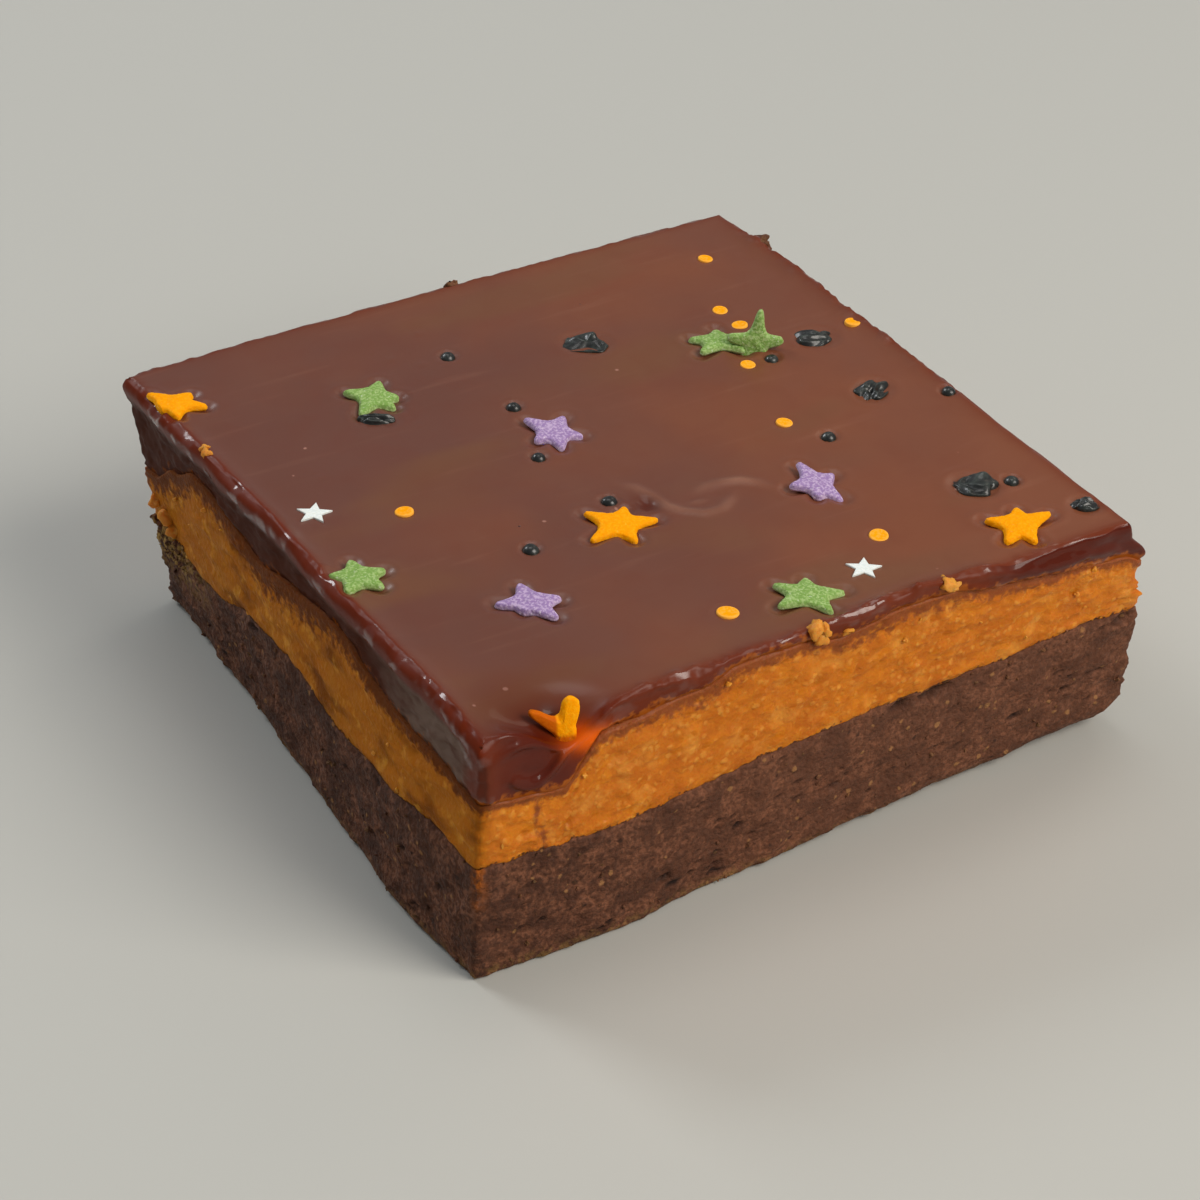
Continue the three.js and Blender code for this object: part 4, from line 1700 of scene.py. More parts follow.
@dataclass
class WhiteStars(Kind):
    """The flat white stars: the place and turn of each."""

    name = "white_stars"
    nodes = ("chocolate_topping",)
    flat_angle = 30
    places: Places = ((-34.7, 4.2, -16), (9.9, -33.1, -17))
    radius: float = 2.0
    valley: float = 0.88
    top: float = 0.12
    sunk: float = 0.5

    def model(self) -> bpy.types.Object:
        """Models the stars as one piece.

        Returns:
            The piece.
        """
        Bench.clear()
        bpy.ops.mesh.primitive_circle_add(vertices=10, radius=self.radius, fill_type="NGON")
        star = Bench.named("white_star")
        angles = np.arange(10) * np.pi / 5
        reach = np.where(np.arange(10) % 2, self.valley, self.radius)
        Bench.move(star, np.stack([reach * np.cos(angles), reach * np.sin(angles), 0 * angles], -1))
        Bench.open_edit("FACE")
        Bench.draw_faces(self.sunk + self.top)
        bpy.ops.mesh.inset(thickness=0.07, depth=0.05)
        Bench.seal()
        for name in ("edge", "film"):
            Bench.mark(star, name, 0)
        floor = FORM.top_height - self.sunk
        places = [at_place(u, v, floor) @ turned(turn) for u, v, turn in self.places]
        return Bench.repeat(self.name, star, places)

    def seats(self) -> list[Seat]:
        """The hollows that the stars make.

        Returns:
            One seat for each star.
        """
        seats = []
        for u, v, turn in self.places:
            arms = tuple((turn + 72 * arm, self.radius) for arm in range(5))
            seats.append(Seat(u, v, arms, reach=0.1, depth=0.08, width=0.35))
        return seats


@dataclass
class Discs(Kind):
    """The flat orange discs: the place and size of each."""

    name = "orange_discs"
    nodes = ("chocolate_topping",)
    flat_angle = 35
    places: Places = (
        (32, 31, 0.92), (26.7, 19.7, 0.92), (26.8, 15.7, 1.0), (22.6, 7.7, 0.92), (19.1, -4.8, 0.98),
        (-26.2, -0.1, 1.05), (15, -28.6, 1.08), (-6.8, -32.8, 1.22), (38.4, 9.5, 1.0),
    )
    radius: float = 0.98
    thickness: float = 0.9
    top: float = 0.09
    tilt: float = 0.1

    def model(self) -> bpy.types.Object:
        """Models the discs as one piece.

        Returns:
            The piece.
        """
        half = self.thickness / 2
        measures = {"radius": self.radius, "depth": self.thickness}
        Bench.clear()
        bpy.ops.mesh.primitive_cylinder_add(vertices=40, end_fill_type="NGON", **measures)
        disc = Bench.named("disc")
        Bench.open_edit()
        Bench.pick(disc, lambda points: points[:, 2] > 0)
        bpy.ops.mesh.bevel(offset=0.16, segments=4, affect="EDGES")
        Bench.pick(disc, lambda points: points[:, 2] > half - 0.001)
        bpy.ops.mesh.inset(thickness=0.1, depth=0.0)
        bpy.ops.mesh.inset(thickness=0.25, depth=-0.05)
        bpy.ops.mesh.poke()
        Bench.close_edit()
        across, deep, _ = Bench.points(disc).T
        away = np.hypot(across, deep)
        Bench.mark(disc, "edge", smooth(away, 0.74 * self.radius, 0.95 * self.radius))
        Bench.mark(disc, "film", 0)
        places = []
        for n, (u, v, size) in enumerate(self.places):
            tilt = Matrix.Rotation(self.tilt * math.sin(2.3 * n), 4, "X")
            tilt = tilt @ Matrix.Rotation(self.tilt * math.cos(1.7 * n), 4, "Y")
            place = at_place(u, v, FORM.level(u, v) - half + self.top)
            places.append(place @ tilt @ Matrix.Diagonal((size, size, 1, 1)))
        return Bench.repeat(self.name, disc, places)

    def seats(self) -> list[Seat]:
        """Returns the hollows that the discs make."""
        return [Seat(u, v, (), self.radius * size, depth=0.1, width=0.35) for u, v, size in self.places]


@dataclass
class Beads(Kind):
    """The small black beads: the place and size of each."""

    name = "black_beads"
    nodes = ("chocolate_topping",)
    places: Places = (
        (-6.1, 26, 0.95), (-5.2, 12.8, 0.95), (-8.2, 2.4, 0.9), (-6.2, -8.9, 1.0), (-18.2, -12.8, 1.0),
        (21.8, -9.5, 0.95), (33.9, -26.8, 0.95), (25.8, 7.6, 0.9), (39.0, -8.4, 0.9),
    )
    radius: float = 0.9
    squash: float = 0.86
    rise: float = -0.38

    def model(self) -> bpy.types.Object:
        """Models the beads as one piece.

        Returns:
            The piece.
        """
        parts = []
        for n, (u, v, size) in enumerate(self.places):
            Bench.clear()
            bpy.ops.mesh.primitive_ico_sphere_add(subdivisions=4, radius=self.radius * size)
            part = Bench.named(f"bead_{n}")
            points = Bench.points(part)
            dents = 1 + 0.05 * Grit.noise(points + 9.1 * n, 0.7)
            points = points * dents[:, None] * (1, 1, self.squash)
            Bench.mark(part, "edge", smooth(-points[:, 2], -0.35, -0.02))
            Bench.move(part, points + (u, v, FORM.level(u, v) + self.rise))
            parts.append(part)
        return Bench.join(self.name, parts)

    def seats(self) -> list[Seat]:
        """Returns the hollows that the beads make."""
        return [Seat(u, v, (), 0.75 * size, depth=0.35, width=0.4, lip=0.04) for u, v, size in self.places]


@dataclass
class Drops(Kind):
    """The larger wrinkled black drops: the place, turn, length and width of each."""

    name = "black_drops"
    nodes = ("chocolate_topping",)
    places: tuple[tuple[float, float, float, float, float], ...] = (
        (9.2, 20.8, -40, 2.5, 2.0), (32.9, 8.9, -20, 2.2, 1.7), (31.8, -3.9, 30, 2.2, 1.6),
        (29.8, -25.6, -38, 2.5, 2.0), (37.9, -34.7, -10, 1.4, 1.2), (-19.9, 17.7, -33, 2.0, 0.75),
    )
    rise: float = -0.28
    height: float = 0.7

    def model(self) -> bpy.types.Object:
        """Models the drops as one piece.

        Returns:
            The piece.
        """
        parts = []
        for n, (u, v, turn, length, width) in enumerate(self.places):
            Bench.clear()
            bpy.ops.mesh.primitive_ico_sphere_add(subdivisions=5, radius=1)
            part = Bench.named(f"drop_{n}")
            ball = Bench.points(part)
            folds = 1 - np.abs(Grit.rough(ball * (0.7, 1.3, 1.0) + 6.2 * n, 0.9, 2))
            outline = 1 + 0.38 * Grit.noise(ball * (1, 1, 0) + 2.7 * n, 0.7)
            points = ball * outline[:, None] * (length, width, self.height)
            peak = 0.5 * bell(np.hypot(ball[:, 0] - 0.3 * math.cos(2.1 * n), ball[:, 1] - 0.4), 0.3)
            points[:, 2] += 0.6 * (folds - 0.7) + peak * width / 2
            Bench.mark(part, "edge", 0.9 * smooth(folds, 0.8, 1.0))
            Bench.move(part, points)
            part.data.transform(at_place(u, v, FORM.level(u, v) + self.rise) @ turned(turn))
            parts.append(part)
        return Bench.join(self.name, parts)

    def seats(self) -> list[Seat]:
        """The hollows that the drops make.

        Returns:
            One seat for each drop.
        """
        seats = []
        for u, v, turn, length, width in self.places:
            arms = ((turn, length - width), (turn + 180, length - width))
            seats.append(Seat(u, v, arms, 0.9 * width, depth=0.22, width=0.6, lip=0.04))
        return seats


@dataclass
class ToppingLayer(Kind):
    """The chocolate topping: a level surface, a wet rim and smeared sides."""

    name = "chocolate_topping_slab"
    nodes = ("chocolate_topping",)
    slot = "chocolate"
    seats: Sequence[Seat]
    columns: int = 236
    rows: int = 30
    rim_focus: float = 0.75
    edge_radius: float = 0.7
    bead_radius: float = 1.25
    wave_depth: float = 0.35
    wave_grain: float = 5.0
    tuck: float = 0.3
    taper: float = 0.5
    seat_reach: float = 8.0
    drips: tuple[Ridge, ...] = (
        Ridge(((-28.6, 26.6), (-30.6, 25.2), (-32.0, 23.6), (-33.8, 22.6)), 0.8, 0.5),
        Ridge(((-32.6, 22.5), (-34.6, 22.9), (-36.6, 24.4)), 0.95, 0.6),
        Ridge(((-39.9, 30.0), (-39.6, 25.0), (-39.2, 21.0)), 0.7, 1.4),
        Ridge(((-39.0, 27.0), (-35.5, 28.0), (-32.0, 27.6), (-28.6, 26.6)), 0.6, 0.7),
        Ridge(((14.0, 28.6), (17.0, 27.8), (20.5, 27.8)), 0.5, 0.6),
        Ridge(((23.0, 28.2), (28.0, 27.4), (33.0, 27.4), (38.0, 26.0)), 0.5, 0.9),
        Ridge(((26.0, 26.0), (31.0, 25.6), (37.0, 24.6)), 0.45, 0.6),
    )
    folds: tuple[Ridge, ...] = (
        Ridge(
            (
                (-3.6, -6.6), (-2.4, -8.0), (-1.7, -10.4), (-1.4, -12.9), (-0.5, -14.5), (1.4, -16.1),
                (3.4, -16.2), (5.0, -15.3), (6.4, -14.2),
            ),
            0.3,
            0.6,
        ),
        Ridge(
            ((2.4, -12.2), (4.5, -11.6), (6.3, -11.9), (8.2, -12.5), (9.7, -13.9), (10.4, -16.0)), 0.26, 0.6
        ),
        Ridge(((1.0, -13.5), (3.0, -14.0)), 0.2, 0.3),
    )
    swells: tuple[Ridge, ...] = (
        Ridge(((-22, 6), (-12, 8), (-4, 2), (0, -6), (-1.5, -10)), 0.07, 1.6),
        Ridge(((6, -18), (12, -24), (20, -27)), 0.06, 1.8),
    )
    dents: tuple[tuple[float, float, float, float], ...] = (
        (-3.0, -11.4, 0.5, 1.3), (1.6, -13.4, 0.12, 1.5), (4.6, -13.6, 0.1, 0.9),
        (-30.0, -38.8, 0.5, 2.2), (-35.2, -37.2, 0.4, 1.8),
    )
    bubbles: Points = (
        (-12.2, 28.4), (-9.7, 25.7), (-6.6, 32.0), (-16.3, 14.7), (-9.2, -4.8), (15.2, -6.1), (-30.8, 10.1),
        (3.0, 4.0), (-26.0, -27.0),
    )

    def rim_lumps(self, at: Spots) -> np.ndarray:
        """Unevenness of the rim where the cut dragged it.

        Args:
            at: Spots of the square.

        Returns:
            The rise at each spot.
        """
        front = FORM.near(Side.FRONT, at, 3) * (0.4 * bell(at.u - 8, 16) + 0.34 * bell(at.u + 17, 9))
        right = FORM.near(Side.RIGHT, at, 3) * 0.24 * smooth(at.v, -12, -4) * (1 - smooth(at.v, 33, 38))
        left = FORM.near(Side.LEFT, at, 3) * 0.14
        back = FORM.near(Side.BACK, at, 2) * 0.12 * (1 - smooth(at.u, 34, 38))
        return Grit.rough(at.sheet, 1.5, 3) * (front + right + left + back) * bell(FORM.inset(at), 1.3)

    def surface(self, at: Spots) -> np.ndarray:
        """Height of the topping with all its finer forms.

        Args:
            at: Spots of the square.

        Returns:
            The heights.
        """
        height = FORM.plain_top(at)
        for ridge in (*self.folds, *self.swells):
            height += ridge.at(at.u, at.v)
        for u, v, depth, width in self.dents:
            height -= depth * bell(at.away(u, v), width)
        for seat in self.seats:
            near = at.away(seat.u, seat.v) < self.seat_reach
            height[near] += seat.hollow(at.u[near], at.v[near])
        for u, v in self.bubbles:
            height += 0.12 * bell(at.away(u, v), 0.42) - 0.14 * bell(at.away(u, v), 0.2)
        height += 0.09 * Grit.noise(at.sheet, 11) + 0.03 * Grit.noise(at.sheet + 3, 4.2)
        return height + self.rim_lumps(at)

    def wall_relief(self, at: Spots, below: np.ndarray) -> np.ndarray:
        """Relief of the topping's sides.

        Args:
            at: The spots.
            below: How far each one lies below the surface.

        Returns:
            The relief, outwards.
        """
        waves = self.wave_depth * Grit.noise(at.points, self.wave_grain)
        drag = Spots(at.u, at.v + 0.9 * at.z, at.z).points
        at_left = FORM.near(Side.LEFT, at, 2)
        bead = 0.5 * bell(below - 1.3, 1.5) - 0.25
        left = 0.18 * Grit.rough(drag, (3.0, 2.2, 1.0), 3) * smooth(below, 2.0, 3.4) + bead
        front = 0.12 * Grit.rough(at.points + 4, (2.2, 2.2, 1.4), 2)
        for drip in self.drips:
            front += drip.at(at.u, at.z) * FORM.near(Side.FRONT, at, 1.5)
        return waves * (1 - 0.5 * at_left) + mix(front, left, at_left) + 0.08

    def model(self) -> bpy.types.Object:
        """Models the layer.

        Returns:
            The piece.
        """
        piece = self.cage()
        cage_u, cage_v, level = Bench.points(piece).T
        flat = Spots(self.spread(cage_u), self.spread(cage_v))
        share = np.clip(-level / self.rows, 0, 1)
        inset = FORM.inset(flat)
        on_side = inset < WALL
        wall = (share > 0) & on_side
        top = self.surface(flat)
        ragged = 0.3 * Grit.rough(flat.sheet + 2.2, 1.6, 3)
        floor = FORM.seam_height(FORM.filling_seam, flat) + np.where(on_side, ragged, 0) - self.tuck
        z = mix(top, floor, share**1.15)
        radius = mix(self.edge_radius, self.bead_radius, FORM.near(Side.LEFT, flat, 2.5))
        drop, draw = self.round_rim(radius, inset, top - z, wall, share == 0)
        at = Spots(flat.u, flat.v, z - drop)
        above, below = at.z - floor, top - at.z
        ease = smooth(above, 0, 1.1) * smooth(below, 0, 1.2)
        shared = FORM.shared_grit(at) + 0.05
        rough = np.where(on_side, mix(shared, self.wall_relief(at, below), ease), 0)
        taper = self.taper * (1 + 1.4 * bell(at.u + 25.5, 2.5) * FORM.near(Side.FRONT, at, 1))
        rough = np.where(wall, rough - taper * (1 - smooth(above, 0, 1.5)), rough)
        underside = (level < -self.rows + 0.5) & ~on_side
        moved = FORM.on_slice(at, np.where(underside, -0.3, rough))
        lean = np.sign(moved[:, :2]) * draw[:, None]
        across = np.abs(np.abs(at.u) - FORM.half) <= np.abs(np.abs(at.v) - FORM.half)
        moved[:, :2] -= np.where(np.stack([across, ~across], -1), lean, 0)
        Bench.move(piece, moved)
        self.mark_rims(piece, at, share > 0, wall)
        return piece

    def cage(self) -> bpy.types.Object:
        """Models a fine grid whose rim is drawn down in rows and closed below.

        Returns:
            The piece.
        """
        counts = {"x_subdivisions": self.columns, "y_subdivisions": self.columns}
        Bench.clear()
        bpy.ops.mesh.primitive_grid_add(size=FORM.side, **counts)
        piece = Bench.named(self.name)
        Bench.open_edit()
        Bench.pick(piece, lambda points: np.abs(points[:, :2]).max(axis=1) > FORM.half - WALL)
        for _ in range(self.rows):
            Bench.draw_loop(1)
        Bench.close_loop(FORM.half)
        Bench.seal()
        return piece

    def spread(self, place: np.ndarray) -> np.ndarray:
        """Moves the grid's lines closer together towards the rim."""
        bend = np.pi / 2 * self.rim_focus
        return FORM.half * np.sin(bend * place / FORM.half) / np.sin(bend)

    @staticmethod
    def round_rim(
        radius: np.ndarray, inset: np.ndarray, below: np.ndarray, wall: np.ndarray, on_top: np.ndarray
    ) -> tuple[np.ndarray, np.ndarray]:
        """Rounds the rim between the surface and the sides.

        Args:
            radius: Radius of the rim at each spot.
            inset: Distance of each spot from the side.
            below: How far each spot lies below the surface.
            wall: Which spots are on a side.
            on_top: Which spots are on the surface.

        Returns:
            How far each spot moves down, and how far inwards.
        """
        turn_top = np.pi / 4 * (1 + np.clip(inset / radius, 0, 1))
        turn_side = np.pi / 4 * (1 - np.clip(below / radius, 0, 1))
        near_top = on_top & (inset < radius)
        near_side = wall & (below < radius)
        drop = np.where(near_top, radius * (1 - np.sin(turn_top)), 0)
        draw = np.where(near_top, radius * (1 - np.cos(turn_top)) - inset, 0)
        drop = np.where(near_side, radius * (1 - np.sin(turn_side)) - below, drop)
        draw = np.where(near_side, radius * (1 - np.cos(turn_side)), draw)
        return drop, draw

    def mark_rims(self, piece: bpy.types.Object, at: Spots, lower: np.ndarray, wall: np.ndarray) -> None:
        """Keeps where the chocolate is thin and wet, where the left side is darkened with painted shade, and
        where painted highlights and painted shade fall on the top.

        Args:
            piece: The layer.
            at: Its spots.
            lower: Which of them are below the surface.
            wall: Which of them are on a side.
        """
        left, front, right, back = (FORM.near(side, at, 3) for side in Side)
        on_wall = np.where(wall, 1, 0)
        below = FORM.plain_top(at) - at.z
        above = at.z - FORM.seam_height(FORM.filling_seam, at)
        strength = np.maximum.reduce([left, 0.8 * front, 0.7 * right, 0.6 * back])
        low = on_wall * smooth(below, 2.0, 3.2) * left * (1 - 0.9 * smooth(-at.v, 35.0, 38.5))
        rim = strength * bell(FORM.inset(at), 1.4) + 0.7 * bell(at.away(*FORM.pocket_place), 4.5)
        corner = bell(at.away(-33, -39.5), 6.5) * (1 - left * on_wall)
        end = on_wall * front * smooth(at.u, 18, 26)
        # Painted shade in the dent at the swirl's start, carried in the wet mark.
        shadow = 0.9 * bell(at.away(-3.0, -11.3), 1.7)
        ridges = sum(fold.at(at.u, at.v) for fold in self.folds)
        uneven = 2.4 + 1.6 * Grit.noise(at.sheet, 2.7)
        marks = {
            "rim": np.where(wall, strength * (1 - 0.9 * low), rim),
            # Painted shade on the lower left wall.
            "side": low,
            "veil": low * (0.06 + 0.94 * smooth(-at.v, 16, 30)),
            "wall": on_wall * smooth(below, 0.3, 1.6),
            # wet: glossier and darker at the corner and the front's right end, with painted shade in the
            # swirl's dent.
            "wet": np.maximum.reduce([corner, end, shadow]) * smooth(above, 0.6, 1.6),
            "thin": on_wall * (1 - smooth(above, 0, 2.2)) * np.maximum(front, 0.4),
            "glow": 0.95 * (bell(at.u + 27.8, 2.3) * bell(at.v + 39.8, 1.7) * bell(at.z - 25.7, 1.3)),
            # Painted highlight along the swirl's folds.
            "fold": np.where(lower, 0, ridges * uneven),
        }
        for name, values in marks.items():
            Bench.mark(piece, name, values)


@dataclass
class Crumbs(Kind):
    """Small crumbs of one kind that cling to the cut sides and the rim."""

    seed: int = 11
    count: int = 420
    reach: float = 39.0
    above_seam: float = 0.2

    def crumb(self, name: str, seed: int) -> bpy.types.Object:
        """Models one crumb about 1 mm across.

        Args:
            name: The piece's name.
            seed: Picks its shape.

        Returns:
            The crumb.
        """
        Bench.clear()
        bpy.ops.mesh.primitive_ico_sphere_add(subdivisions=3, radius=0.5)
        crumb = Bench.named(name)
        points = Bench.points(crumb)
        lumps = 0.5 * Grit.noise(points + 8.3 * seed, 0.4) + 0.25 * Grit.noise(points + 1.3 * seed, 0.17)
        Bench.move(crumb, points * (1 + lumps)[:, None])
        return crumb

    def scatter(self, spots: Sequence[Triple], sizes: Sequence[float]) -> bpy.types.Object:
        """Joins crumbs at their spots.

        Args:
            spots: Spots of the square at their heights.
            sizes: Size of each crumb.

        Returns:
            The piece.
        """
        rng = np.random.default_rng(self.seed)
        at = Spots(*np.array(spots, float).T)
        points = FORM.on_slice(at, FORM.shared_grit(at) - 0.06)
        models = [self.crumb(f"crumb_{n}", n + self.seed) for n in range(4)]
        parts: list[bpy.types.Object] = []
        for n, (point, size) in enumerate(zip(points, sizes)):
            turn = Matrix.Rotation(rng.uniform(0, 6.28), 4, Vector(rng.normal(size=3)))
            stretch = Matrix.Diagonal((size * rng.uniform(0.7, 1.3), size, size * rng.uniform(0.6, 1.0), 1))
            parts += Bench.copies(models[n % 4], [at_place(*point) @ turn @ stretch])
        for model in models:
            bpy.data.objects.remove(model)
        return Bench.join(self.name, parts)

    def wall_spots(self, rng: np.random.Generator) -> tuple[list[Triple], np.ndarray]:
        """Draws spots on the four sides, between the lowest and the highest place for them.

        Args:
            rng: The seeded draw.

        Returns:
            The spots, and the size of the crumb at each.
        """
        place = rng.uniform(-self.reach, self.reach, self.count)
        side = rng.integers(0, 4, self.count)
        edge = np.full(self.count, FORM.half)
        at = Spots(
            np.choose(side, [-edge, place, edge, place]), np.choose(side, [place, -edge, place, edge])
        )
        z = mix(self.lowest(at), self.highest(at), rng.uniform(0, 1, self.count))
        return list(zip(at.u, at.v, z)), rng.uniform(0.3, 0.7, self.count) ** 1.3

    def lowest(self, at: Spots) -> np.ndarray:
        """Returns the lowest height for crumbs."""
        return 0 * at.u + 0.3

    def highest(self, at: Spots) -> np.ndarray:
        """Returns the highest height for crumbs."""
        return FORM.seam_height(FORM.base_seam, at) + self.above_seam


@dataclass
class BaseCrumbs(Crumbs):
    """The dark crumbs on the base, and a few that lie on the rim."""

    name = "base_crumbs"
    slot = "baked_base"
    torn_count: int = 130
    edge: Places = (
        (2.2, 40.0, 29.3), (2.7, 40.0, 29.6), (40.0, 31.4, 29.6), (40.0, 30.2, 29.4), (40.0, 32.2, 29.3),
    )
    edge_sizes: tuple[float, ...] = (1.6, 1.0, 1.7, 1.5, 1.2)

    def model(self) -> bpy.types.Object:
        """Models the crumbs as one piece.

        Returns:
            The piece.
        """
        rng, count = np.random.default_rng(self.seed), self.torn_count
        spots, sizes = self.wall_spots(rng)
        torn = [(-FORM.half, v, z) for v, z in zip(rng.uniform(30, 40, count), rng.uniform(8, 11.5, count))]
        sizes = np.concatenate([sizes, rng.uniform(0.35, 0.9, count), self.edge_sizes])
        piece = self.scatter([*spots, *torn, *self.edge], sizes)
        u, v, _ = Bench.points(piece).T
        Bench.mark(piece, "dry", 0.15 + 0.85 * smooth(v, 26, 31) * smooth(-u, 36, 39))
        return piece


@dataclass
class CaramelGrains(Crumbs):
    """The caramel grains on the filling, and a few that were dragged over the rim."""

    name = "caramel_grains"
    slot = "caramel"
    seed: int = 12
    count: int = 70
    above_seam: float = 0.3
    dragged: Places = (
        (-40.0, 35.0, 13.7), (-40.0, 34.2, 12.6), (-40.0, 37.6, 14.6), (-0.7, -40.0, 29.4),
        (0.3, -40.0, 29.0), (-0.2, -40.0, 28.2), (3.2, -40.0, 28.2), (15.6, -40.0, 29.6), (16.5, -40.0, 29.3),
        (-39.6, 19.7, 30.0), (-39.4, 20.6, 30.2),
    )
    dragged_sizes: tuple[float, ...] = (2.1, 1.7, 1.5, 2.2, 1.7, 1.9, 1.3, 1.8, 1.3, 1.5, 1.1)

    def lowest(self, at: Spots) -> np.ndarray:
        """Returns the lowest height for grains."""
        return FORM.seam_height(FORM.base_seam, at) + self.above_seam

    def highest(self, at: Spots) -> np.ndarray:
        """Returns the highest height for grains."""
        return FORM.seam_height(FORM.filling_seam, at) + self.above_seam

    def model(self) -> bpy.types.Object:
        """Models the grains as one piece.

        Returns:
            The piece.
        """
        spots, sizes = self.wall_spots(np.random.default_rng(self.seed))
        piece = self.scatter([*spots, *self.dragged], np.append(sizes, self.dragged_sizes))
        Bench.mark(piece, "grain", 0.5)
        return piece


@dataclass
class Studio:
    """Camera, light and floor. Each light has its place in metres, side, power and colour."""

    focal_length: float = 105.55
    sensor: float = 36.0
    camera_place: Triple = (-178.36, -274.47, 231.04)
    azimuth: float = -32.62
    elevation: float = 34.16
    roll: float = 1.72
    floor_colour: Colour = shade(186, 186, 180)
    sky_colour: Colour = (0.93, 0.96, 1.0, 1.0)
    sky_strength: float = 0.26
    lights: tuple[tuple[str, Triple, float, float, Triple], ...] = (
        ("main_light", (0.4, -0.7, 0.7), 0.6, 9.4, (1.0, 0.94, 0.86)),
        ("window_light", (-0.3, 0.685, 0.6), 0.3, 2.9, (0.94, 0.97, 1.0)),
        ("overhead_light", (0.1, 0.2, 0.95), 0.4, 1.3, (1.0, 0.98, 0.96)),
        ("lamp_light", (0.7, 0.31, 0.63), 0.3, 0.4, (1.0, 0.86, 0.7)),
    )

    def make(self) -> None:
        """Builds the camera, the lights, the sky and the floor."""
        self.camera()
        for name, place, size, power, colour in self.lights:
            light = self.stand(bpy.data.lights.new(name, "AREA"), Matrix.Translation(place))
            light.rotation_euler = Vector(place).to_track_quat("Z", "Y").to_euler()
            light.data.shape = "SQUARE"
            light.data.size = size
            light.data.energy = power
            light.data.color = colour
        self.sky()
        self.floor()

    @staticmethod
    def stand(data: bpy.types.ID, place: Matrix) -> bpy.types.Object:
        """Adds a camera or a light at its place.

        Args:
            data: The camera or the light.
            place: Where it stands.

        Returns:
            Its object.
        """
        made = bpy.data.objects.new(data.name, data)
        made.matrix_world = place
        bpy.context.scene.collection.objects.link(made)
        return made

    def camera(self) -> None:
        """Adds the camera at the photograph's viewing angle."""
        azimuth, elevation, roll = (math.radians(a) for a in (self.azimuth, self.elevation, self.roll))
        ahead = (math.sin(azimuth) * math.cos(elevation), -math.cos(azimuth) * math.cos(elevation))
        back = Vector((*ahead, math.sin(elevation)))
        right = (-back).cross(Vector((0, 0, 1))).normalized()
        up = right.cross(-back)
        across = math.cos(roll) * right + math.sin(roll) * up
        above = -math.sin(roll) * right + math.cos(roll) * up
        turn = Matrix((across, above, back)).transposed()
        data = bpy.data.cameras.new("camera")
        data.lens = self.focal_length
        data.sensor_width = self.sensor
        data.clip_start = 0.01
        place = Matrix.Translation(Vector(self.camera_place) * MM)
        bpy.context.scene.camera = self.stand(data, place @ turn.to_4x4())

    def sky(self) -> None:
        """Fills the room with even light."""
        world = bpy.data.worlds.new("room")
        world.use_nodes = True
        background = world.node_tree.nodes["Background"]
        background.inputs["Color"].default_value = self.sky_colour
        background.inputs["Strength"].default_value = self.sky_strength
        bpy.context.scene.world = world

    def floor(self) -> None:
        """Adds the plain pale floor."""
        Bench.clear()
        bpy.ops.mesh.primitive_plane_add(size=4.0)
        floor = Bench.named("floor")
        w = Surface("floor_finish")
        w.set(Base_Color=self.floor_colour, Roughness=0.55)
        floor.data.materials.append(w.material)
        floor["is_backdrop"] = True
        Bench.clear()


GREEN = SugarFinish("green_sugar", shade(124, 160, 78), shade(182, 206, 140), 0.14)
ORANGE = SugarFinish("orange_sugar", shade(255, 158, 0), shade(255, 176, 24), sparkle=0.04, shine=0.04)
PURPLE = SugarFinish("purple_sugar", shade(153, 125, 174), shade(218, 196, 224), 0.16, sparkle=0.5)
WHITE = SugarFinish("white_sugar", shade(226, 234, 230), shade(244, 248, 246), grain_depth=0.02)
DISC = SugarFinish("disc_sugar", shade(255, 164, 0), shade(255, 184, 76), 0.02, 0.05, 0.0, shine=0.04)


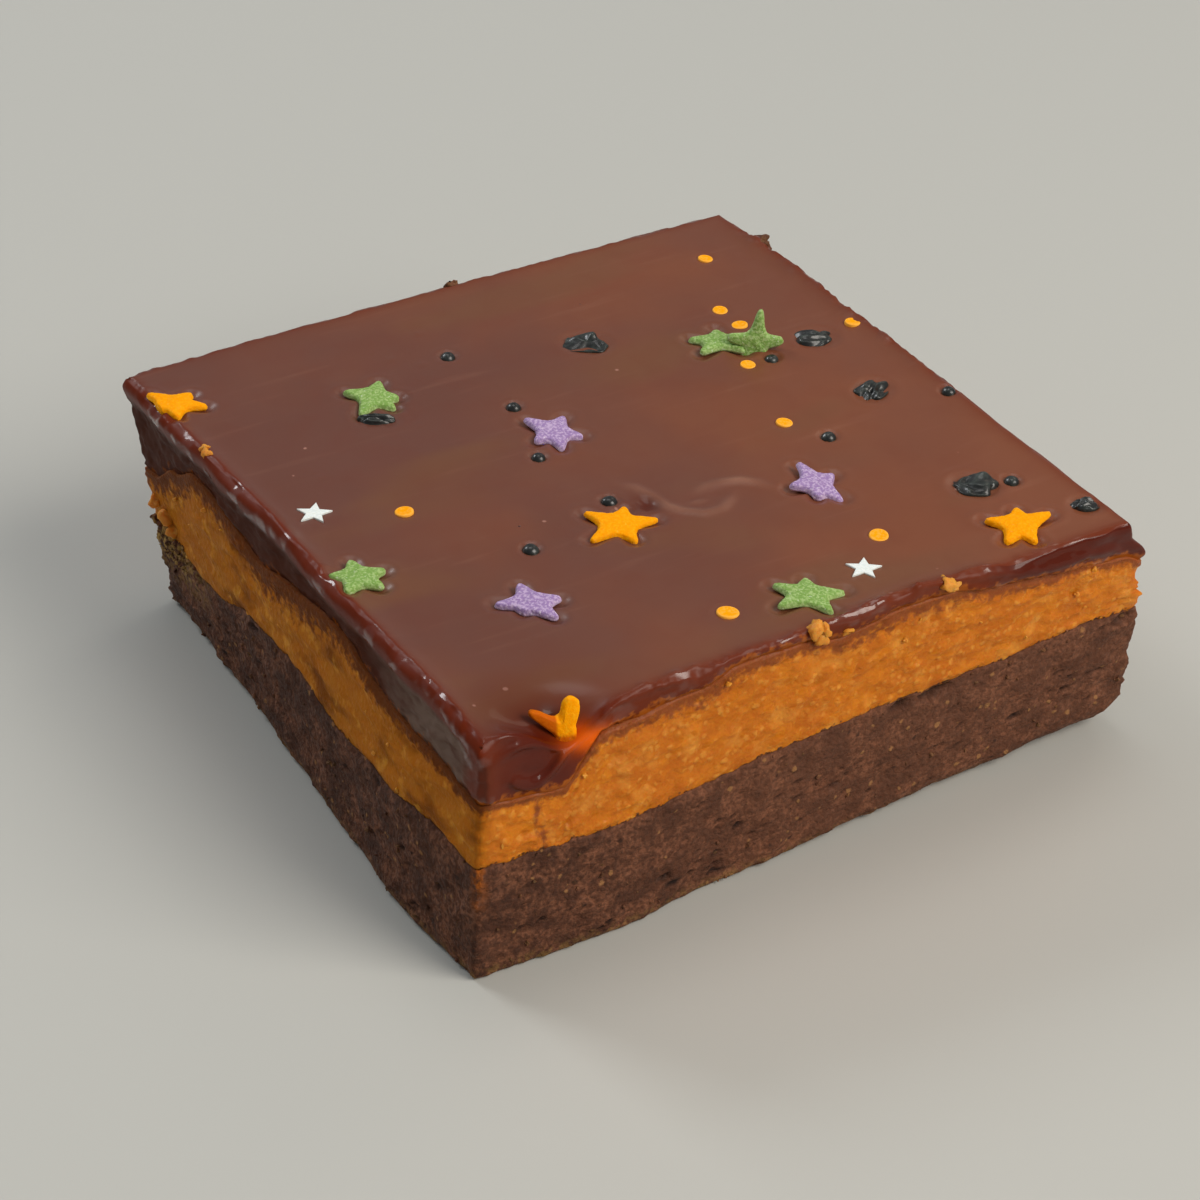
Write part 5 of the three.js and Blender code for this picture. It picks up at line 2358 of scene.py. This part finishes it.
def puffed_stars() -> list[PuffedStars]:
    """The puffed stars at their places.

    Returns:
        One group for each colour.
    """
    star = PuffedStar
    green = PuffedStars(
        SugarColour.GREEN,
        GREEN,
        lying=(
            star(-17.9, 21.9, ((-140, 3.8), (-73, 3.1), (-29, 2.7), (50, 3.1), (135, 3.3)), tilt=(2, 1)),
            star(22.7, 13.3, ((-161, 3.7), (-73, 3.2), (-3, 2.8), (72, 3.0), (140, 3.6)), tilt=(-5, 3)),
            star(-36.6, -8.9, ((-139, 2.9), (-62, 3.0), (-3, 3.0), (75, 3.0), (146, 2.8))),
            star(1.9, -34.4, ((-174, 3.8), (-82, 3.7), (-16, 4.0), (60, 2.9), (122, 3.8)), tilt=(0, 3)),
        ),
        upright=(
            UprightStar(
                25.3, 10.2, 30.3, -30, 12, ((-7, 3.9), (78, 3.3), (134, 2.1), (-150, 1.9), (-84, 3.0)), 0.58
            ),
        ),
    )
    orange = PuffedStars(
        SugarColour.ORANGE,
        ORANGE,
        lying=(
            star(-7.9, -13.7, ((-167, 4.1), (-90, 3.2), (-12, 4.2), (48, 3.1), (119, 4.1)), tilt=(3, 0)),
            star(29.0, -34.7, ((-152, 3.3), (-95, 3.1), (4, 4.1), (62, 3.0), (131, 3.6)), tilt=(2, -3)),
            star(-37.9, 31.3, ((-106, 2.8), (-36, 3.6), (19, 2.7), (114, 3.6), (178, 2.4))),
        ),
        upright=(
            UprightStar(
                -29.3, -38.8, 26.3, -16, 6, ((-3, 4.0), (52, 4.9), (120, 1.4), (-150, 1.4), (-80, 0.5)), 1.45,
                film=True,
            ),
        ),
    )
    purple = PuffedStars(
        SugarColour.PURPLE,
        PURPLE,
        lying=(
            star(-4.3, 5.8, ((-163, 2.8), (-104, 3.3), (-40, 3.2), (39, 3.3), (113, 3.8)), tilt=(3, 3)),
            star(14.9, -17.4, ((-124, 2.3), (-74, 3.4), (20, 2.7), (87, 4.1), (165, 3.0)), tilt=(8, 6)),
            star(-23.5, -21.7, ((-150, 1.5), (-73, 3.5), (-15, 3.1), (80, 3.4), (150, 3.5)), tilt=(2, -4)),
        ),
    )
    return [green, orange, purple]


def main() -> None:
    """Builds the slice round its frame, and then the studio."""
    logging.basicConfig(level=logging.INFO, format="%(name)s: %(message)s")
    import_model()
    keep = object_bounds()
    bpy.context.scene.view_settings.view_transform = "Standard"
    effects = SharedEffects()
    chocolate, caramel, crumb = ChocolateFinish(), CaramelFinish(), CrumbFinish()
    chocolate, caramel, crumb = (finish.make(effects) for finish in (chocolate, caramel, crumb))
    sugar = [(group, group.finish) for group in puffed_stars()]
    sugar += [(WhiteStars(), WHITE), (Discs(), DISC)]
    sugar += [(Beads(), BlackSugarFinish("bead_coat")), (Drops(), BlackSugarFinish("drop_coat"))]
    seats = [seat for kind, _ in sugar for seat in kind.seats()]
    BaseLayer().make(crumb, keep)
    CaramelLayer().make(caramel, keep)
    ToppingLayer(seats).make(chocolate, keep)
    for kind, finish in sugar:
        kind.make(finish.make(effects), keep)
    BaseCrumbs().make(crumb, keep)
    CaramelGrains().make(caramel, keep)
    Studio().make()


if __name__ == "__main__":
    main()
